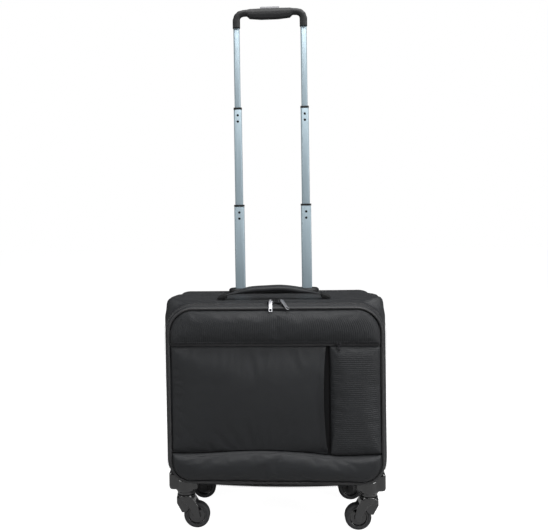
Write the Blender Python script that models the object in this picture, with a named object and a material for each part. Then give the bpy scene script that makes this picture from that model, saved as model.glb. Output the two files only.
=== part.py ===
"""Pilot's rolling flight case: a soft-sided business trolley on four swivel casters.

The case stands on its wheels with the telescopic handle pulled out. +X is the right-hand side seen
from the front, -Y is the front with the pockets, +Z is up and z = 0 is the floor. All sizes are metres.
Depths are measured back from the plane of the front piping, which lies at y = PIPING_Y.
"""

import math

import bmesh
import bpy
from mathutils import Matrix, Vector

# ---- Driving dimensions -------------------------------------------------------------------------

GAP = 0.0003                 # left between pieces that touch

# Case, seen from the front
CASE_WIDTH = 0.420
CASE_CLEARANCE = 0.040       # underside of the case above the tops of the wheels
CASE_HEIGHT = 0.350          # from the underside to the top face
FRONT_TOP_RADIUS = 0.058     # corners of the front opening
FRONT_BOTTOM_RADIUS = 0.051
REAR_TOP_RADIUS = 0.034      # corners of the body behind the opening
REAR_BOTTOM_RADIUS = 0.046
ARC_STEPS = 6                # flats in each rounded corner

# Case, from front to back
PIPING_Y = -0.0955
SHELL_FRONT = 0.0160
SHELL_SQUARED = 0.0400       # depth at which the section has become the squarer rear one
SHELL_REAR = 0.1980
SHELL_WALL = 0.004
SHELL_FRONT_INSET = 0.003
BACK_PANEL_THICKNESS = 0.004

# Edges
PIPING_RADIUS = 0.0025
PIPING_INSET = 0.011         # of the front piping's centre line from the outermost outline
LID_RING_BACK = 0.0088
LID_RING_WALL = 0.0035
LID_RING_FRONT_INSET = 0.0095
LID_RING_BACK_INSET = 0.0055
ZIP_TAPE_WIDTH = 0.0031      # of one half of the zip
ZIP_TAPE_THICKNESS = 0.0025
WIRE_RADIUS = 0.0020

# Lid
LID_BOARD_THICKNESS = 0.003
PAD_PROUD = 0.0065           # how far the padded bands stand in front of the piping plane
POCKET_PROUD = 0.0045
POCKET_WALL = 0.002
UPPER_BAND_HEIGHT = 0.0597
POCKET_ZIP_HEIGHT = 0.0080   # of the zip's tape under the upper band
BOTTOM_BAND_HEIGHT = 0.0550
SIDE_POCKET_WIDTH = 0.0937
POCKET_MOUTH = 0.0064        # open between the large pocket and the side pocket
POCKET_RIM = 0.006           # stitched-down edge of the large pocket
ZIP_RECESS = 0.001           # how far the pocket zip stands in front of the piping plane
SEAM = 0.0012                # open width of a seam between two panels

# Carry handle
HANDLE_SPAN = 0.184
HANDLE_DEPTH = 0.0716        # of its middle line, behind the piping plane
HANDLE_WIDTH = 0.030
HANDLE_THICKNESS = 0.011
HANDLE_RISE = 0.019          # of its middle above the top face
HANDLE_END_RISE = 0.007
HANDLE_END_WIDTH = 0.022
HANDLE_END_THICKNESS = 0.003
ANCHOR_LENGTH = 0.018

# Telescopic handle
TUBE_SPACING = 0.140
TUBE_DEPTH_Y = 0.1800        # of the tubes' axes, behind the piping plane
TUBE_WALL = 0.001
TUBE_SIZES = ((0.0254, 0.0170), (0.0210, 0.0140), (0.0166, 0.0110), (0.0128, 0.0080))
STAGE_RISES = (0.0, 0.180, 0.384)    # top ends of the fixed tube and of stages 1 and 2, above the case
TUBE_OVERLAP = (0.090, 0.070, 0.060)  # what stays inside the tube below when pulled out
GRIP_LEG_RISE = 0.554        # lower ends of the grip's legs, above the case
BUSHING_HEIGHT = 0.004
BUSHING_LIP = 0.0004
RUN_CLEARANCE = 0.0004
BEZEL_HEIGHT = 0.0077
BEZEL_MARGIN_X = 0.016
BEZEL_MARGIN_Y = 0.008
SOCKET_FLOOR = 0.006
SOCKET_DEPTH = 0.008

# Grip
GRIP_HEIGHT = 0.0405         # from the ends of its legs to its top
GRIP_CORNER = 0.014
GRIP_LEG_HALF = 0.0085
GRIP_SIDE_HALF = 0.0068
GRIP_MIDDLE_HALF = 0.0125
GRIP_HALF_DEPTH = 0.0105
BUTTON_LENGTH = 0.040
BUTTON_WIDTH = 0.010
BUTTON_PROUD = 0.0020
BUTTON_HEIGHT = 0.0065
BUTTON_TRAVEL = 0.003
BUTTON_CLEARANCE = 0.0006

# Casters
CASTER_INSET = 0.0345        # of each stem from the side of the case
FRONT_CASTER_DEPTH = 0.0362
WHEELBASE = 0.142
TRAIL = 0.021
WHEEL_RADIUS = 0.025
WHEEL_WIDTH = 0.018
TYRE_THICKNESS = 0.0065
WHEEL_SEGMENTS = 24
AXLE_RADIUS = 0.003
AXLE_CLEARANCE = 0.0004
WHEEL_SIDE_CLEARANCE = 0.0012
CHEEK_THICKNESS = 0.0045
FORK_HEAD_RADIUS = 0.0172
FORK_DROP = 0.0243           # top of each fork below the underside of the case
CUP_RADIUS = 0.0195
CUP_DROP = 0.018             # lower rim of each cup below the underside of the case
NECK_RADIUS = 0.0165
GUARD_DROP = 0.0145          # lower side of each corner guard below the underside of the case
GUARD_RISE = 0.022           # upper edge of each corner guard above it
GUARD_WIDTH = 0.057
GUARD_INSET = 0.003
GUARD_FRONT_DEPTH = 0.0215

# Zip sliders and pulls
SLIDER_LENGTH = 0.013
SLIDER_WIDTH = 0.0072
SLIDER_BODY = 0.0028
SLIDER_TAIL_RADIUS = 0.0030  # corners of the end that the closed zip comes out of
SLIDER_EDGE = 0.0007
EAR_THICKNESS = 0.0011
BAR_LENGTH = 0.0042
BAR_RISE = 0.0034            # of the pull's axis above the slider's body
BAR_FORWARD = 0.0015         # of the pull's axis from the slider's middle
PULL_LENGTH = 0.029
PULL_WIDTH = 0.0068
PULL_THICKNESS = 0.0012
PULL_RIM = 0.0014            # left round the slot in a pull
PULL_CLEARANCE = 0.0006      # to the piping that the pulls lean on at rest
LEFT_SLIDER_X = -0.0062
RIGHT_SLIDER_X = 0.0135
RIGHT_PULL_TURN = math.radians(30)   # of the right-hand pull towards the side
EYE_RADIUS = 0.0034          # of the padlock eye on the inner end of each slider
EYE_HOLE = 0.0019
EYE_THICKNESS = 0.0009
POCKET_SLIDER_INSET = 0.0772 # of its middle from the right-hand edge of the panels
POCKET_SLIDER_LENGTH = 0.009
POCKET_SLIDER_WIDTH = 0.0060
POCKET_SLIDER_BODY = 0.0022
POCKET_BAR_RISE = 0.0023
POCKET_PULL_LENGTH = 0.012
POCKET_PULL_WIDTH = 0.0050

# ---- Sizes that follow ---------------------------------------------------------------------------

CASE_BASE = 2 * WHEEL_RADIUS + CASE_CLEARANCE
CASE_TOP = CASE_BASE + CASE_HEIGHT
HALF_WIDTH = CASE_WIDTH / 2
TUBE_X = TUBE_SPACING / 2
TUBE_Y = PIPING_Y + TUBE_DEPTH_Y
LID_RING_FRONT = PIPING_RADIUS + GAP
ZIP_LID_FRONT = LID_RING_BACK + GAP
ZIP_LID_BACK = ZIP_LID_FRONT + ZIP_TAPE_WIDTH
ZIP_CASE_FRONT = ZIP_LID_BACK + GAP
ZIP_CASE_BACK = SHELL_FRONT - GAP
PANEL_INSET = PIPING_INSET + PIPING_RADIUS + GAP
BOARD_FRONT = LID_RING_FRONT + GAP
HINGE_Y = PIPING_Y + ZIP_LID_BACK + GAP / 2
HINGE_Z = CASE_BASE + 0.5 * (SHELL_FRONT_INSET + LID_RING_BACK_INSET)
STEM_X = HALF_WIDTH - CASTER_INSET
FRONT_STEM_Y = PIPING_Y + FRONT_CASTER_DEPTH
REAR_STEM_Y = FRONT_STEM_Y + WHEELBASE
TYRE_RADIUS = WHEEL_RADIUS / math.cos(math.pi / WHEEL_SEGMENTS)
BEZEL_BOTTOM = CASE_TOP + GAP
BEZEL_TOP = BEZEL_BOTTOM + BEZEL_HEIGHT
PANEL_BACK = BOARD_FRONT - GAP
PANEL_SIDE = HALF_WIDTH - PANEL_INSET
PANEL_LOW = CASE_BASE + PANEL_INSET
PANEL_HIGH = CASE_TOP - PANEL_INSET
BAND_SEAM_Z = PANEL_HIGH - UPPER_BAND_HEIGHT
POCKET_TOP_Z = BAND_SEAM_Z - POCKET_ZIP_HEIGHT
POCKET_BOTTOM_Z = PANEL_LOW + BOTTOM_BAND_HEIGHT + SEAM
SIDE_POCKET_LEFT = PANEL_SIDE - SIDE_POCKET_WIDTH
STAGE_TOPS = [CASE_TOP + rise for rise in STAGE_RISES]
GRIP_LEG_BOTTOM = CASE_TOP + GRIP_LEG_RISE
GRIP_TOP = GRIP_LEG_BOTTOM + GRIP_HEIGHT
FORK_TOP = CASE_BASE - FORK_DROP
CUP_BOTTOM = CASE_BASE - CUP_DROP
GUARD_BOTTOM = CASE_BASE - GUARD_DROP
GUARD_TOP = CASE_BASE + GUARD_RISE

# ---- Shapes --------------------------------------------------------------------------------------


def rounded_outline(left, right, bottom, top, radii, steps=ARC_STEPS):
    """Points (x, z) round a rectangle; radii are bottom-left, bottom-right, top-right, top-left."""
    corners = (
        (left, bottom, 1, 1, math.pi),
        (right, bottom, -1, 1, 1.5 * math.pi),
        (right, top, -1, -1, 0.0),
        (left, top, 1, -1, 0.5 * math.pi),
    )
    points = []
    for (x, z, side_x, side_z, start), radius in zip(corners, radii):
        for step in range(steps + 1):
            angle = start + 0.5 * math.pi * step / steps
            points.append(
                (
                    x + side_x * radius + radius * math.cos(angle),
                    z + side_z * radius + radius * math.sin(angle),
                )
            )
    return points


def case_outline(inset, top_radius, bottom_radius):
    """The case's outline seen from the front, brought in by inset on every side."""
    low, high = bottom_radius - inset, top_radius - inset
    return rounded_outline(
        -HALF_WIDTH + inset,
        HALF_WIDTH - inset,
        CASE_BASE + inset,
        CASE_TOP - inset,
        (low, low, high, high),
    )


def front_outline(inset):
    return case_outline(inset, FRONT_TOP_RADIUS, FRONT_BOTTOM_RADIUS)


def rear_outline(inset):
    return case_outline(inset, REAR_TOP_RADIUS, REAR_BOTTOM_RADIUS)


def at_depth(outline, depth):
    return [(x, PIPING_Y + depth, z) for x, z in outline]


def at_height(outline, z):
    return [(x, y, z) for x, y in outline]


def loft(rings, closed=False):
    """A skin over rings of points: closed joins the last ring to the first, otherwise both ends are capped."""
    bm = bmesh.new()
    loops = [[bm.verts.new(point) for point in ring] for ring in rings]
    pairs = list(zip(loops, loops[1:]))
    if closed:
        pairs.append((loops[-1], loops[0]))
    count = len(rings[0])
    for first, second in pairs:
        for i in range(count):
            j = (i + 1) % count
            bm.faces.new((first[i], first[j], second[j], second[i]))
    if not closed:
        bm.faces.new(loops[0])
        bm.faces.new(reversed(loops[-1]))
    bmesh.ops.recalc_face_normals(bm, faces=bm.faces)
    return bm


def frame_ring(outer, inner):
    """A hoop between outer and inner stations, both given as (outline, depth) from front to back."""
    rings = [at_depth(outline, depth) for outline, depth in outer]
    rings += [at_depth(outline, depth) for outline, depth in reversed(inner)]
    return loft(rings, closed=True)


def tube_ring(inset, depth, radius, outline_of, sides=6):
    """A round cord bent round the case's outline."""
    rings = []
    for side in range(sides):
        angle = 2 * math.pi * side / sides
        rings.append(
            at_depth(outline_of(inset + radius * math.cos(angle)), depth + radius * math.sin(angle))
        )
    return loft(rings, closed=True)


def panel(left, right, bottom, top, radii, back, front, crown=0.004):
    """A padded panel whose front edges are rounded over by crown."""
    rings = []
    for depth, inset in ((back, 0.0), (front + crown, 0.0), (front + 0.3 * crown, 0.3 * crown), (front, crown)):
        outline = rounded_outline(
            left + inset,
            right - inset,
            bottom + inset,
            top - inset,
            [max(radius - inset, 0.0008) for radius in radii],
        )
        rings.append(at_depth(outline, depth))
    return loft(rings)


def box(low, high):
    bm = bmesh.new()
    bmesh.ops.create_cube(bm, size=1.0)
    size = Vector(high) - Vector(low)
    bmesh.ops.transform(bm, matrix=Matrix.Diagonal(size.to_4d()), verts=bm.verts)
    bmesh.ops.translate(bm, vec=(Vector(low) + Vector(high)) / 2, verts=bm.verts)
    return bm


def soft_box(low, high, radius, segments=2):
    bm = box(low, high)
    bmesh.ops.bevel(bm, geom=bm.edges[:], offset=radius, segments=segments, profile=0.5, affect="EDGES")
    return bm


def prism_y(points, half_width):
    """An outline in the XZ plane, run through both ways along Y."""
    rings = [[(x, y, z) for x, z in points] for y in (-half_width, half_width)]
    return loft(rings)


def cylinder(centre, radius, low, high, axis="Z", segments=24, turn=0.0):
    """A cylinder from low to high along the axis, round centre = its other two coordinates."""
    rings = []
    for level in (low, high):
        ring = []
        for i in range(segments):
            angle = 2 * math.pi * (i + turn) / segments
            u = centre[0] + radius * math.cos(angle)
            v = centre[1] + radius * math.sin(angle)
            ring.append((u, v, level) if axis == "Z" else (u, level, v))
        rings.append(ring)
    return loft(rings)


def turned_y(centre, profile, segments):
    """A hoop turned about an axis along Y through centre = (x, z); the profile is a closed list of (radius, y)."""
    rings = []
    for radius, y in profile:
        rings.append(
            [
                (
                    centre[0] + radius * math.cos(2 * math.pi * (i + 0.5) / segments),
                    y,
                    centre[1] + radius * math.sin(2 * math.pi * (i + 0.5) / segments),
                )
                for i in range(segments)
            ]
        )
    return loft(rings, closed=True)


def tube_section(size, chamfer):
    """Points (x, y) of a rectangle with chamfered corners, round the origin."""
    half_x, half_y = size[0] / 2, size[1] / 2
    return [
        (-half_x + chamfer, -half_y),
        (half_x - chamfer, -half_y),
        (half_x, -half_y + chamfer),
        (half_x, half_y - chamfer),
        (half_x - chamfer, half_y),
        (-half_x + chamfer, half_y),
        (-half_x, half_y - chamfer),
        (-half_x, -half_y + chamfer),
    ]


def sleeve(outer, inner, low, high, centre, chamfer=0.0022):
    """A rectangular tube standing upright; outer and inner are (x, y) sizes."""
    def moved(section):
        return [(x + centre[0], y + centre[1]) for x, y in section]

    inner_chamfer = chamfer - 0.4 * (outer[0] - inner[0]) / 2
    outside = moved(tube_section(outer, chamfer))
    inside = moved(tube_section(inner, max(inner_chamfer, 0.0008)))
    rings = [at_height(outside, low), at_height(outside, high), at_height(inside, high), at_height(inside, low)]
    return loft(rings, closed=True)


# ---- Objects -------------------------------------------------------------------------------------

for old in list(bpy.data.objects):
    bpy.data.objects.remove(old, do_unlink=True)


def material(name, colour, roughness, metallic=0.0):
    made = bpy.data.materials.new(name)
    made.use_nodes = True
    shader = made.node_tree.nodes["Principled BSDF"]
    shader.inputs["Base Color"].default_value = (*colour, 1.0)
    shader.inputs["Roughness"].default_value = roughness
    shader.inputs["Metallic"].default_value = metallic
    return made


NYLON = material("black_nylon", (0.020, 0.021, 0.024), 0.75)
PIPING = material("black_piping", (0.010, 0.010, 0.012), 0.55)
LINING = material("grey_lining", (0.10, 0.10, 0.11), 0.85)
BOARD = material("stiffener_board", (0.05, 0.05, 0.05), 0.80)
ZIP = material("zip_tape", (0.015, 0.015, 0.017), 0.70)
GLOSS = material("gloss_black_plastic", (0.012, 0.013, 0.015), 0.18)
MATT = material("matt_black_plastic", (0.030, 0.030, 0.032), 0.50)
ALUMINIUM = material("anodised_tube", (0.42, 0.44, 0.46), 0.35, 0.9)
STEEL = material("spring_steel", (0.45, 0.45, 0.46), 0.40, 1.0)
NICKEL = material("nickel_pull", (0.70, 0.70, 0.70), 0.22, 1.0)
TYRE = material("grey_tyre", (0.045, 0.047, 0.050), 0.60)
BUTTON = material("grey_button", (0.35, 0.36, 0.37), 0.45)


def pivot(name, place, parent=None):
    """An empty on a joint's axis, which its moving pieces hang from."""
    empty = bpy.data.objects.new(name, None)
    empty.empty_display_size = 0.02
    bpy.context.scene.collection.objects.link(empty)
    empty["world_place"] = list(place)
    origin = Vector(parent["world_place"]) if parent else Vector()
    empty.parent = parent
    empty.location = Vector(place) - origin
    return empty


def add(name, bm, surface, parent=None):
    """Turns bm, drawn in world coordinates, into the object name with its origin on its parent's pivot."""
    origin = Vector(parent["world_place"]) if parent else Vector()
    bmesh.ops.translate(bm, vec=-origin, verts=bm.verts)
    mesh = bpy.data.meshes.new(name)
    bm.to_mesh(mesh)
    bm.free()
    mesh.materials.append(surface)
    mesh.shade_smooth()
    mesh.set_sharp_from_angle(angle=math.radians(35))
    made = bpy.data.objects.new(name, mesh)
    bpy.context.scene.collection.objects.link(made)
    made.parent = parent
    return made


def combined(base, steps):
    """base after each Boolean of steps = (operation, bmesh), as one new bmesh. All are drawn in one space."""
    base_object = add("combined_base", base, NYLON)
    tools = []
    for operation, tool in steps:
        cutter = add("combined_tool", tool, NYLON)
        cutter.hide_render = True
        cutter.display_type = "WIRE"
        modifier = base_object.modifiers.new("cut", "BOOLEAN")
        modifier.operation = operation
        modifier.object = cutter
        tools.append(cutter)
    graph = bpy.context.evaluated_depsgraph_get()
    result = bmesh.new()
    result.from_object(base_object, graph)
    for used in [base_object, *tools]:
        bpy.data.objects.remove(used, do_unlink=True)
    bmesh.ops.remove_doubles(result, verts=result.verts, dist=0.00001)
    bmesh.ops.dissolve_degenerate(result, edges=result.edges, dist=0.00001)
    return result


# ---- Case body -----------------------------------------------------------------------------------


def shell_stations(extra):
    """Outer stations of the main shell, brought in by extra: the rounded front passes into a squarer body."""
    blend = 0.5 * (FRONT_TOP_RADIUS + REAR_TOP_RADIUS)
    middle_depth = 0.45 * SHELL_FRONT + 0.55 * SHELL_SQUARED
    return [
        (front_outline(SHELL_FRONT_INSET + extra), SHELL_FRONT),
        (case_outline(0.0005 + extra, blend, FRONT_BOTTOM_RADIUS), middle_depth),
        (rear_outline(extra), SHELL_SQUARED),
        (rear_outline(extra), SHELL_REAR),
    ]


def main_shell():
    """Top, sides and bottom of the main compartment, cut for the two fixed tubes of the trolley."""
    shell = frame_ring(shell_stations(0.0), shell_stations(SHELL_WALL))
    half_x, half_y = (size / 2 + GAP for size in TUBE_SIZES[0])
    cuts = []
    for x in (-TUBE_X, TUBE_X):
        low = (x - half_x, TUBE_Y - half_y, CASE_TOP - 2 * SHELL_WALL)
        high = (x + half_x, TUBE_Y + half_y, CASE_TOP + SHELL_WALL)
        cuts.append(("DIFFERENCE", box(low, high)))
    return combined(shell, cuts)


def base_board():
    low = CASE_BASE + SHELL_WALL + GAP
    reach = HALF_WIDTH - REAR_BOTTOM_RADIUS
    front = PIPING_Y + SHELL_SQUARED + 2 * WIRE_RADIUS + GAP
    rear = PIPING_Y + lining_depth() - GAP
    return box((-reach, front, low), (reach, rear, low + LID_BOARD_THICKNESS))


def lining_depth():
    """Depth of the front of the lining panel that covers the trolley's fixed tubes."""
    return TUBE_DEPTH_Y - TUBE_SIZES[0][1] / 2 - 0.004


def lining_panel():
    outline = rear_outline(SHELL_WALL + GAP)
    depth = lining_depth()
    return loft([at_depth(outline, depth), at_depth(outline, depth + 0.002)])


def back_panel():
    outline = rear_outline(2 * PIPING_RADIUS + 0.5 * PIPING_RADIUS + GAP)
    front = SHELL_REAR + GAP
    return loft([at_depth(outline, front), at_depth(outline, front + BACK_PANEL_THICKNESS)])


def foot_bracket():
    """Plastic block inside the bottom edge that holds the lower ends of the fixed tubes."""
    low = CASE_BASE + SHELL_WALL + GAP
    half_x = TUBE_X + TUBE_SIZES[0][0] / 2 + 0.010
    front = PIPING_Y + lining_depth() + 0.002 + GAP
    rear = PIPING_Y + SHELL_REAR - 0.002
    block = box((-half_x, front, low), (half_x, rear, low + SOCKET_FLOOR + SOCKET_DEPTH))
    socket_x, socket_y = (size / 2 + GAP for size in TUBE_SIZES[0])
    cuts = []
    for x in (-TUBE_X, TUBE_X):
        cuts.append(
            (
                "DIFFERENCE",
                box(
                    (x - socket_x, TUBE_Y - socket_y, low + SOCKET_FLOOR),
                    (x + socket_x, TUBE_Y + socket_y, low + 2 * SOCKET_DEPTH + SOCKET_FLOOR),
                ),
            )
        )
    return combined(block, cuts)


def trolley_bezel():
    """Moulded plate on the top face that the stages slide through."""
    half_x = TUBE_X + TUBE_SIZES[0][0] / 2 + BEZEL_MARGIN_X - 0.004
    half_y = TUBE_SIZES[0][1] / 2 + BEZEL_MARGIN_Y
    rings = []
    for z, inset in ((BEZEL_BOTTOM, 0.0), (BEZEL_TOP - 0.003, 0.0), (BEZEL_TOP, 0.003)):
        radius = half_y - inset - 0.001
        outline = rounded_outline(
            -half_x + inset, half_x - inset, TUBE_Y - half_y + inset, TUBE_Y + half_y - inset, (radius,) * 4, 4
        )
        rings.append(at_height(outline, z))
    hole_x, hole_y = (size / 2 + RUN_CLEARANCE for size in TUBE_SIZES[1])
    cuts = []
    for x in (-TUBE_X, TUBE_X):
        low = (x - hole_x, TUBE_Y - hole_y, BEZEL_BOTTOM - BEZEL_HEIGHT)
        high = (x + hole_x, TUBE_Y + hole_y, BEZEL_TOP + BEZEL_HEIGHT)
        cuts.append(("DIFFERENCE", box(low, high)))
    return combined(loft(rings), cuts)


def case_envelope():
    """The shell's outside grown by GAP, which the corner guards are cut back to."""
    rings = [at_depth(outline, depth) for outline, depth in shell_stations(-GAP)]
    first, last = rings[0], rings[-1]
    rings[0] = [(x, y - GAP, z) for x, y, z in first]
    rings[-1] = [(x, y + GAP, z) for x, y, z in last]
    return loft(rings)


def corner_guard(side, stem_y, low_y, high_y):
    """Moulded corner under the case, with the round cup that carries one caster's stem."""
    stem_x = side * STEM_X
    outer = side * (HALF_WIDTH - GUARD_INSET)
    inner = outer - side * GUARD_WIDTH
    block = soft_box(
        (min(outer, inner), low_y, GUARD_BOTTOM), (max(outer, inner), high_y, GUARD_TOP), 0.006
    )
    cup = loft(
        [
            at_height(circle((stem_x, stem_y), radius, 24), z)
            for radius, z in (
                (NECK_RADIUS, FORK_TOP + GAP),
                (NECK_RADIUS, CUP_BOTTOM),
                (CUP_RADIUS - 0.0015, CUP_BOTTOM + 0.0002),
                (CUP_RADIUS, CUP_BOTTOM + 0.003),
                (CUP_RADIUS, CASE_BASE + 0.006),
            )
        ]
    )
    return combined(block, [("UNION", cup), ("DIFFERENCE", case_envelope())])


def circle(centre, radius, segments):
    step = 2 * math.pi / segments
    return [
        (centre[0] + radius * math.cos(i * step), centre[1] + radius * math.sin(i * step)) for i in range(segments)
    ]


def handle_anchor(side):
    """Stitched-down block that holds one end of the carry handle."""
    inner = side * (HANDLE_SPAN / 2 + GAP)
    outer = inner + side * ANCHOR_LENGTH
    middle = PIPING_Y + HANDLE_DEPTH
    half = HANDLE_END_WIDTH / 2 + 0.002
    low_z = CASE_TOP + GAP
    high_z = CASE_TOP + HANDLE_END_RISE + HANDLE_END_THICKNESS
    points = [(inner, low_z), (outer, low_z), (outer, low_z + 0.002), (inner, high_z)]
    rings = [[(x, y, z) for x, z in points] for y in (middle - half, middle + half)]
    return loft(rings)


add("main_shell", main_shell(), NYLON)
add("base_board", base_board(), BOARD)
add("lining_panel", lining_panel(), LINING)
add("back_panel", back_panel(), NYLON)
rear_piping_depth = SHELL_REAR + GAP + PIPING_RADIUS
add("rear_piping", tube_ring(1.2 * PIPING_RADIUS, rear_piping_depth, PIPING_RADIUS, rear_outline), PIPING)
wire_depth = SHELL_SQUARED + WIRE_RADIUS
add("frame_wire", tube_ring(SHELL_WALL + WIRE_RADIUS + GAP, wire_depth, WIRE_RADIUS, rear_outline), STEEL)


def zip_half(front, back):
    """One half of the zip, a thin hoop between the lid and the shell."""
    reach = SHELL_FRONT - LID_RING_BACK

    def inset(depth):
        share = (depth - LID_RING_BACK) / reach
        return LID_RING_BACK_INSET + share * (SHELL_FRONT_INSET - LID_RING_BACK_INSET)

    outer = [(front_outline(inset(depth)), depth) for depth in (front, back)]
    inner = [(front_outline(inset(depth) + ZIP_TAPE_THICKNESS), depth) for depth in (front, back)]
    return frame_ring(outer, inner)


add("zip_half_case", zip_half(ZIP_CASE_FRONT, ZIP_CASE_BACK), ZIP)
add("foot_bracket", foot_bracket(), MATT)
add("trolley_bezel", trolley_bezel(), MATT)

socket_z = CASE_BASE + SHELL_WALL + GAP + SOCKET_FLOOR + GAP
for suffix, x in (("left", -TUBE_X), ("right", TUBE_X)):
    inside = [size - 2 * TUBE_WALL for size in TUBE_SIZES[0]]
    tube = sleeve(TUBE_SIZES[0], inside, socket_z, CASE_TOP, (x, TUBE_Y))
    add(f"fixed_tube_{suffix}", tube, ALUMINIUM)

for suffix, side in (("left", -1), ("right", 1)):
    add(f"handle_anchor_{suffix}", handle_anchor(side), MATT)
    front_low = PIPING_Y + GUARD_FRONT_DEPTH
    guard = corner_guard(side, FRONT_STEM_Y, front_low, FRONT_STEM_Y + CUP_RADIUS + 0.020)
    add(f"corner_guard_front_{suffix}", guard, GLOSS)
    rear_high = PIPING_Y + SHELL_REAR + GAP
    guard = corner_guard(side, REAR_STEM_Y, REAR_STEM_Y - CUP_RADIUS - 0.020, rear_high)
    add(f"corner_guard_rear_{suffix}", guard, GLOSS)

# ---- Lid -----------------------------------------------------------------------------------------

lid = pivot("lid_hinge", (0.0, HINGE_Y, HINGE_Z))


def lid_ring():
    """Stiff rim of the lid, from the piping back to the zip."""
    slope = LID_RING_FRONT_INSET - LID_RING_BACK_INSET
    outer = [
        (front_outline(LID_RING_FRONT_INSET), LID_RING_FRONT),
        (front_outline(LID_RING_BACK_INSET + 0.3 * slope), 0.5 * (LID_RING_FRONT + LID_RING_BACK)),
        (front_outline(LID_RING_BACK_INSET), LID_RING_BACK),
    ]
    inner = [
        (front_outline(LID_RING_FRONT_INSET + LID_RING_WALL), LID_RING_FRONT),
        (front_outline(LID_RING_FRONT_INSET + LID_RING_WALL), LID_RING_BACK),
    ]
    return frame_ring(outer, inner)


def lid_board():
    outline = front_outline(LID_RING_FRONT_INSET + LID_RING_WALL + GAP)
    return loft([at_depth(outline, BOARD_FRONT), at_depth(outline, BOARD_FRONT + LID_BOARD_THICKNESS)])


SMALL = 0.003                # corner radius of a panel away from the case's own corners


def upper_band():
    corner = FRONT_TOP_RADIUS - PANEL_INSET
    radii = (SMALL, SMALL, corner, corner)
    return panel(-PANEL_SIDE, PANEL_SIDE, BAND_SEAM_Z, PANEL_HIGH, radii, PANEL_BACK, -PAD_PROUD)


def bottom_band():
    corner = FRONT_BOTTOM_RADIUS - PANEL_INSET
    radii = (corner, corner, SMALL, SMALL)
    top = POCKET_BOTTOM_Z - SEAM
    return panel(-PANEL_SIDE, PANEL_SIDE, PANEL_LOW, top, radii, PANEL_BACK, -PAD_PROUD)


def side_pocket():
    radii = (SMALL,) * 4
    return panel(SIDE_POCKET_LEFT, PANEL_SIDE, POCKET_BOTTOM_Z, POCKET_TOP_Z, radii, PANEL_BACK, -POCKET_PROUD)


def large_pocket():
    """Slip pocket stitched down on three sides; its right-hand edge stands open."""
    right = SIDE_POCKET_LEFT - POCKET_MOUTH
    radii = (SMALL,) * 4
    whole = panel(-PANEL_SIDE, right, POCKET_BOTTOM_Z, POCKET_TOP_Z, radii, PANEL_BACK, -POCKET_PROUD)
    low = (-PANEL_SIDE + POCKET_RIM, PIPING_Y - POCKET_PROUD + POCKET_WALL, POCKET_BOTTOM_Z + POCKET_RIM)
    high = (right + POCKET_RIM, PIPING_Y + PANEL_BACK + POCKET_RIM, POCKET_TOP_Z - POCKET_RIM)
    return combined(whole, [("DIFFERENCE", box(low, high))])


def pocket_zip():
    """Closed zip in the seam under the upper band."""
    low = (-PANEL_SIDE + SEAM, PIPING_Y - ZIP_RECESS, POCKET_TOP_Z + GAP)
    high = (PANEL_SIDE - SEAM, PIPING_Y + PANEL_BACK, BAND_SEAM_Z - GAP)
    return box(low, high)


add("lid_ring", lid_ring(), NYLON, lid)
add("front_piping", tube_ring(PIPING_INSET, 0.0, PIPING_RADIUS, front_outline), PIPING, lid)
add("zip_half_lid", zip_half(ZIP_LID_FRONT, ZIP_LID_BACK), ZIP, lid)
add("lid_board", lid_board(), BOARD, lid)
add("upper_band", upper_band(), NYLON, lid)
add("bottom_band", bottom_band(), NYLON, lid)
add("side_pocket", side_pocket(), NYLON, lid)
add("large_pocket", large_pocket(), NYLON, lid)
add("pocket_zip", pocket_zip(), ZIP, lid)

# ---- Zip sliders and their pulls -----------------------------------------------------------------


def slider(length, width, body, rise, forward, turn, eye):
    """A slider lying in the XY plane with its travel along X; two ears carry the pull's cross bar.

    turn is how far the ears are turned towards the side; eye is +1 or -1 for the end with a padlock eye,
    and 0 for a slider with none.
    """
    tail, nose = SLIDER_TAIL_RADIUS, 2 * SLIDER_EDGE
    radii = {1: (tail, nose, nose, tail), -1: (nose, tail, tail, nose), 0: (nose,) * 4}[eye]
    rings = []
    for z, inset in ((0.0, 0.0), (body - SLIDER_EDGE, 0.0), (body, SLIDER_EDGE)):
        corners = [radius - inset for radius in radii]
        half_x, half_y = length / 2 - inset, width / 2 - inset
        rings.append(at_height(rounded_outline(-half_x, half_x, -half_y, half_y, corners, 3), z))
    plate = loft(rings)
    steps = []
    if eye:
        across = eye * (EYE_THICKNESS + GAP) / 2
        low, high = across - EYE_THICKNESS / 2, across + EYE_THICKNESS / 2
        centre = (eye * (length / 2 + EYE_HOLE), EYE_RADIUS)
        profile = [(EYE_HOLE, low), (EYE_RADIUS, low), (EYE_RADIUS, high), (EYE_HOLE, high)]
        steps.append(("UNION", turned_y(centre, profile, 16)))
    for side in (-1, 1):
        near = side * (BAR_LENGTH / 2 + GAP)
        far = near + side * EAR_THICKNESS
        reach = PULL_THICKNESS
        low = (min(near, far), -forward - reach, body / 2)
        high = (max(near, far), -forward + reach, body + rise + reach)
        steps.append(("UNION", moved(box(low, high), Matrix.Rotation(turn, 4, "Z"))))
    return combined(plate, steps)


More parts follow.
